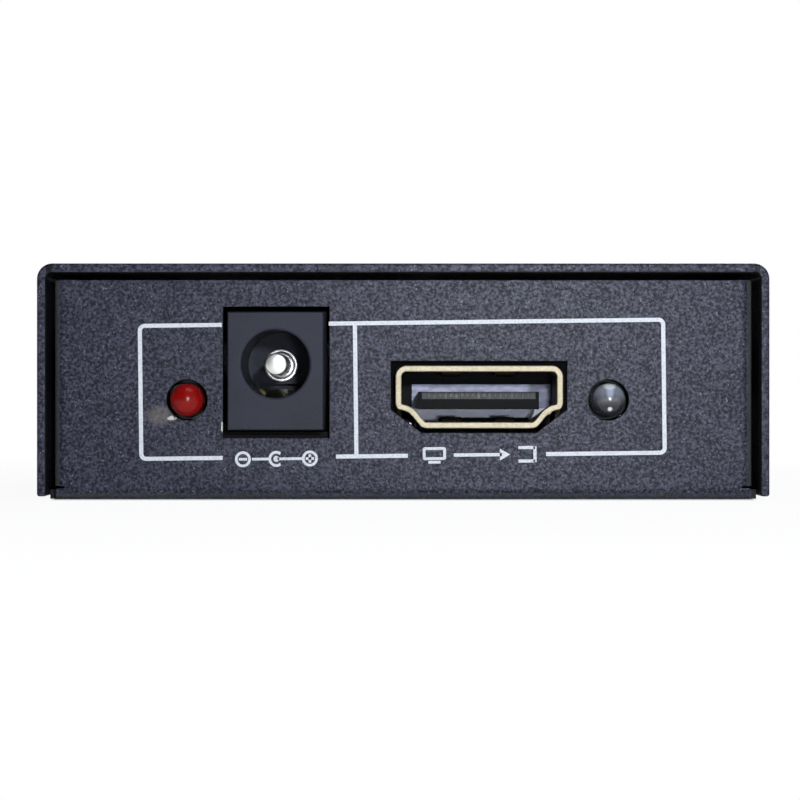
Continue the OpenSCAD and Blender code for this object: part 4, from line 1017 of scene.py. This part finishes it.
class SPLITTER_OT_stage(bpy.types.Operator):
    """Lay the floor, set the lights and the camera"""

    bl_idname = "splitter.stage"
    bl_label = "Stage"

    def execute(self, context):
        looks = context.scene.splitter_stage
        scene = context.scene
        scene.view_settings.view_transform = "Standard"
        self.floor(looks)
        self.world(scene, looks)
        aim = Vector((0, COVER_LOW.y, 10 * MM))
        softboxes = {
            "flash": (looks.flash, (22, -190, 40), 10, 10),
            "low_light": (looks.low, (20, -195, 3), 12, 4),
            "right_softbox": (looks.right, (240, -190, 70), 90, 150),
            "rear_softbox": (looks.rear, (90, 230, 110), 120, 120),
            "overhead_softbox": (looks.above, (70, -30, 320), 260, 200),
            "lower_softbox": (looks.under, (60, -90, -220), 160, 160),
        }
        for name, (watts, place, wide, tall) in softboxes.items():
            self.softbox(name, watts, Vector(place) * MM, aim, wide * MM, tall * MM)
        camera = bpy.data.cameras.new("photo_camera")
        camera.lens = looks.focal / MM
        camera.sensor_width = 36.0
        camera.clip_start = 1 * MM
        holder = linked("photo_camera", camera)
        holder.location = (-0.288 * MM, COVER_LOW.y - looks.distance, 8.99 * MM)
        holder.rotation_euler = (math.pi / 2, 0, 0)
        scene.camera = holder
        return {"FINISHED"}

    def softbox(self, name, watts, place, aim, wide, tall):
        light = bpy.data.lights.new(name, "AREA")
        light.shape = "RECTANGLE"
        light.size, light.size_y = wide, tall
        light.energy = watts
        light.color = (0.87, 0.92, 1.0)
        holder = linked(name, light)
        holder.location = place
        holder.rotation_euler = (aim - place).to_track_quat("-Z", "Y").to_euler()

    def floor(self, looks):
        """A white floor that keeps the object's shadow, can't be seen from below and is open under the tray."""
        bm = bmesh.new()
        wide, open_x, open_y = 3.0, TRAY_HIGH.x - 0.4 * MM, TRAY_HIGH.y - 1.5 * MM
        hollow(bm, bmesh.ops.create_grid(bm, x_segments=1, y_segments=1, size=wide)["verts"], wide / 2)
        for v in bm.verts:
            if abs(v.co.x) < 0.9 * wide:
                v.co.x, v.co.y = math.copysign(open_x, v.co.x), math.copysign(open_y, v.co.y)
        mesh = bpy.data.meshes.new("floor")
        bm.to_mesh(mesh)
        bm.free()
        f = new_finish("white_floor")
        camera, glossy, through = f.rays()
        seen = camera + glossy + through
        away_x, away_y = f.axis("X"), f.axis("Y")
        near = f.step((away_x * away_x + away_y * away_y) ** 0.5, 150 * MM, 45 * MM)
        shaded = f.node("ShaderNodeBsdfDiffuse", {"Color": (0.86, 0.86, 0.86)})
        glow = f.node("ShaderNodeEmission", {"Color": WHITE, "Strength": 1.0})
        under = f.step(abs(away_x), TRAY_HIGH.x + 0.2 * MM, TRAY_HIGH.x - 0.1 * MM)
        under = under * f.step(abs(away_y), CAD_BOX[1].y + 1 * MM, TRAY_HIGH.y - 0.8 * MM)
        lit = (1.0 - looks.floor_shade * near) * (1.0 - under) * seen
        white = f.node("ShaderNodeMixShader", {0: lit, 1: shaded, 2: glow})
        below = f.node("ShaderNodeNewGeometry", output="Backfacing")
        away = f.node("ShaderNodeBsdfTransparent")
        f.node("ShaderNodeOutputMaterial", {
            "Surface": f.node("ShaderNodeMixShader", {0: below, 1: white, 2: away})})
        mesh.materials.append(f.owner)
        floor = linked("floor", mesh)

    def world(self, scene, looks):
        """White where the camera, metal and glass look at the background, dimmer behind the camera."""
        world = bpy.data.worlds.new("studio")
        scene.world = world
        f = Finish(world)
        camera, glossy, through = f.rays()
        back = f.part(f.node("ShaderNodeTexCoord", output="Generated"), "Y")
        studio = looks.room + (1.0 - looks.room) * f.step(back, 0.0, 0.5)
        bounced = f.step(glossy + through, 0.0, 1.0)
        strength = camera + (1.0 - camera) * (bounced * studio + (1.0 - bounced) * looks.ambient)
        light = f.node("ShaderNodeBackground", {"Color": WHITE, "Strength": strength})
        f.node("ShaderNodeOutputWorld", {"Surface": light})


class SPLITTER_PT_looks(bpy.types.Panel):
    """Sizes, colours and steps of the splitter box"""

    bl_idname = "SPLITTER_PT_looks"
    bl_label = "Splitter box"
    bl_space_type = "VIEW_3D"
    bl_region_type = "UI"
    bl_category = "Splitter"

    def draw(self, context):
        for step, holder in zip(STEPS, LOOKS):
            box = self.layout.box()
            box.operator(step.bl_idname)
            looks = getattr(context.scene, holder)
            for key in looks.__annotations__:
                box.prop(looks, key)


STEPS = (SPLITTER_OT_case, SPLITTER_OT_print, SPLITTER_OT_sockets, SPLITTER_OT_jack, SPLITTER_OT_lamps,
         SPLITTER_OT_board, SPLITTER_OT_stage)


def register():
    for looks in LOOKS.values():
        bpy.utils.register_class(looks)
    for holder, looks in LOOKS.items():
        setattr(bpy.types.Scene, holder, PointerProperty(type=looks))
    for step in STEPS:
        bpy.utils.register_class(step)
    bpy.utils.register_class(SPLITTER_PT_looks)


def unregister():
    bpy.utils.unregister_class(SPLITTER_PT_looks)
    for step in reversed(STEPS):
        bpy.utils.unregister_class(step)
    for holder in LOOKS:
        delattr(bpy.types.Scene, holder)
    for looks in reversed(LOOKS.values()):
        bpy.utils.unregister_class(looks)


def main():
    register()
    bpy.ops.splitter.case()
    bpy.ops.splitter.print()
    bpy.ops.splitter.sockets()
    bpy.ops.splitter.jack()
    bpy.ops.splitter.lamps()
    bpy.ops.splitter.board()
    bpy.ops.splitter.stage()


if __name__ == "__main__":
    main()
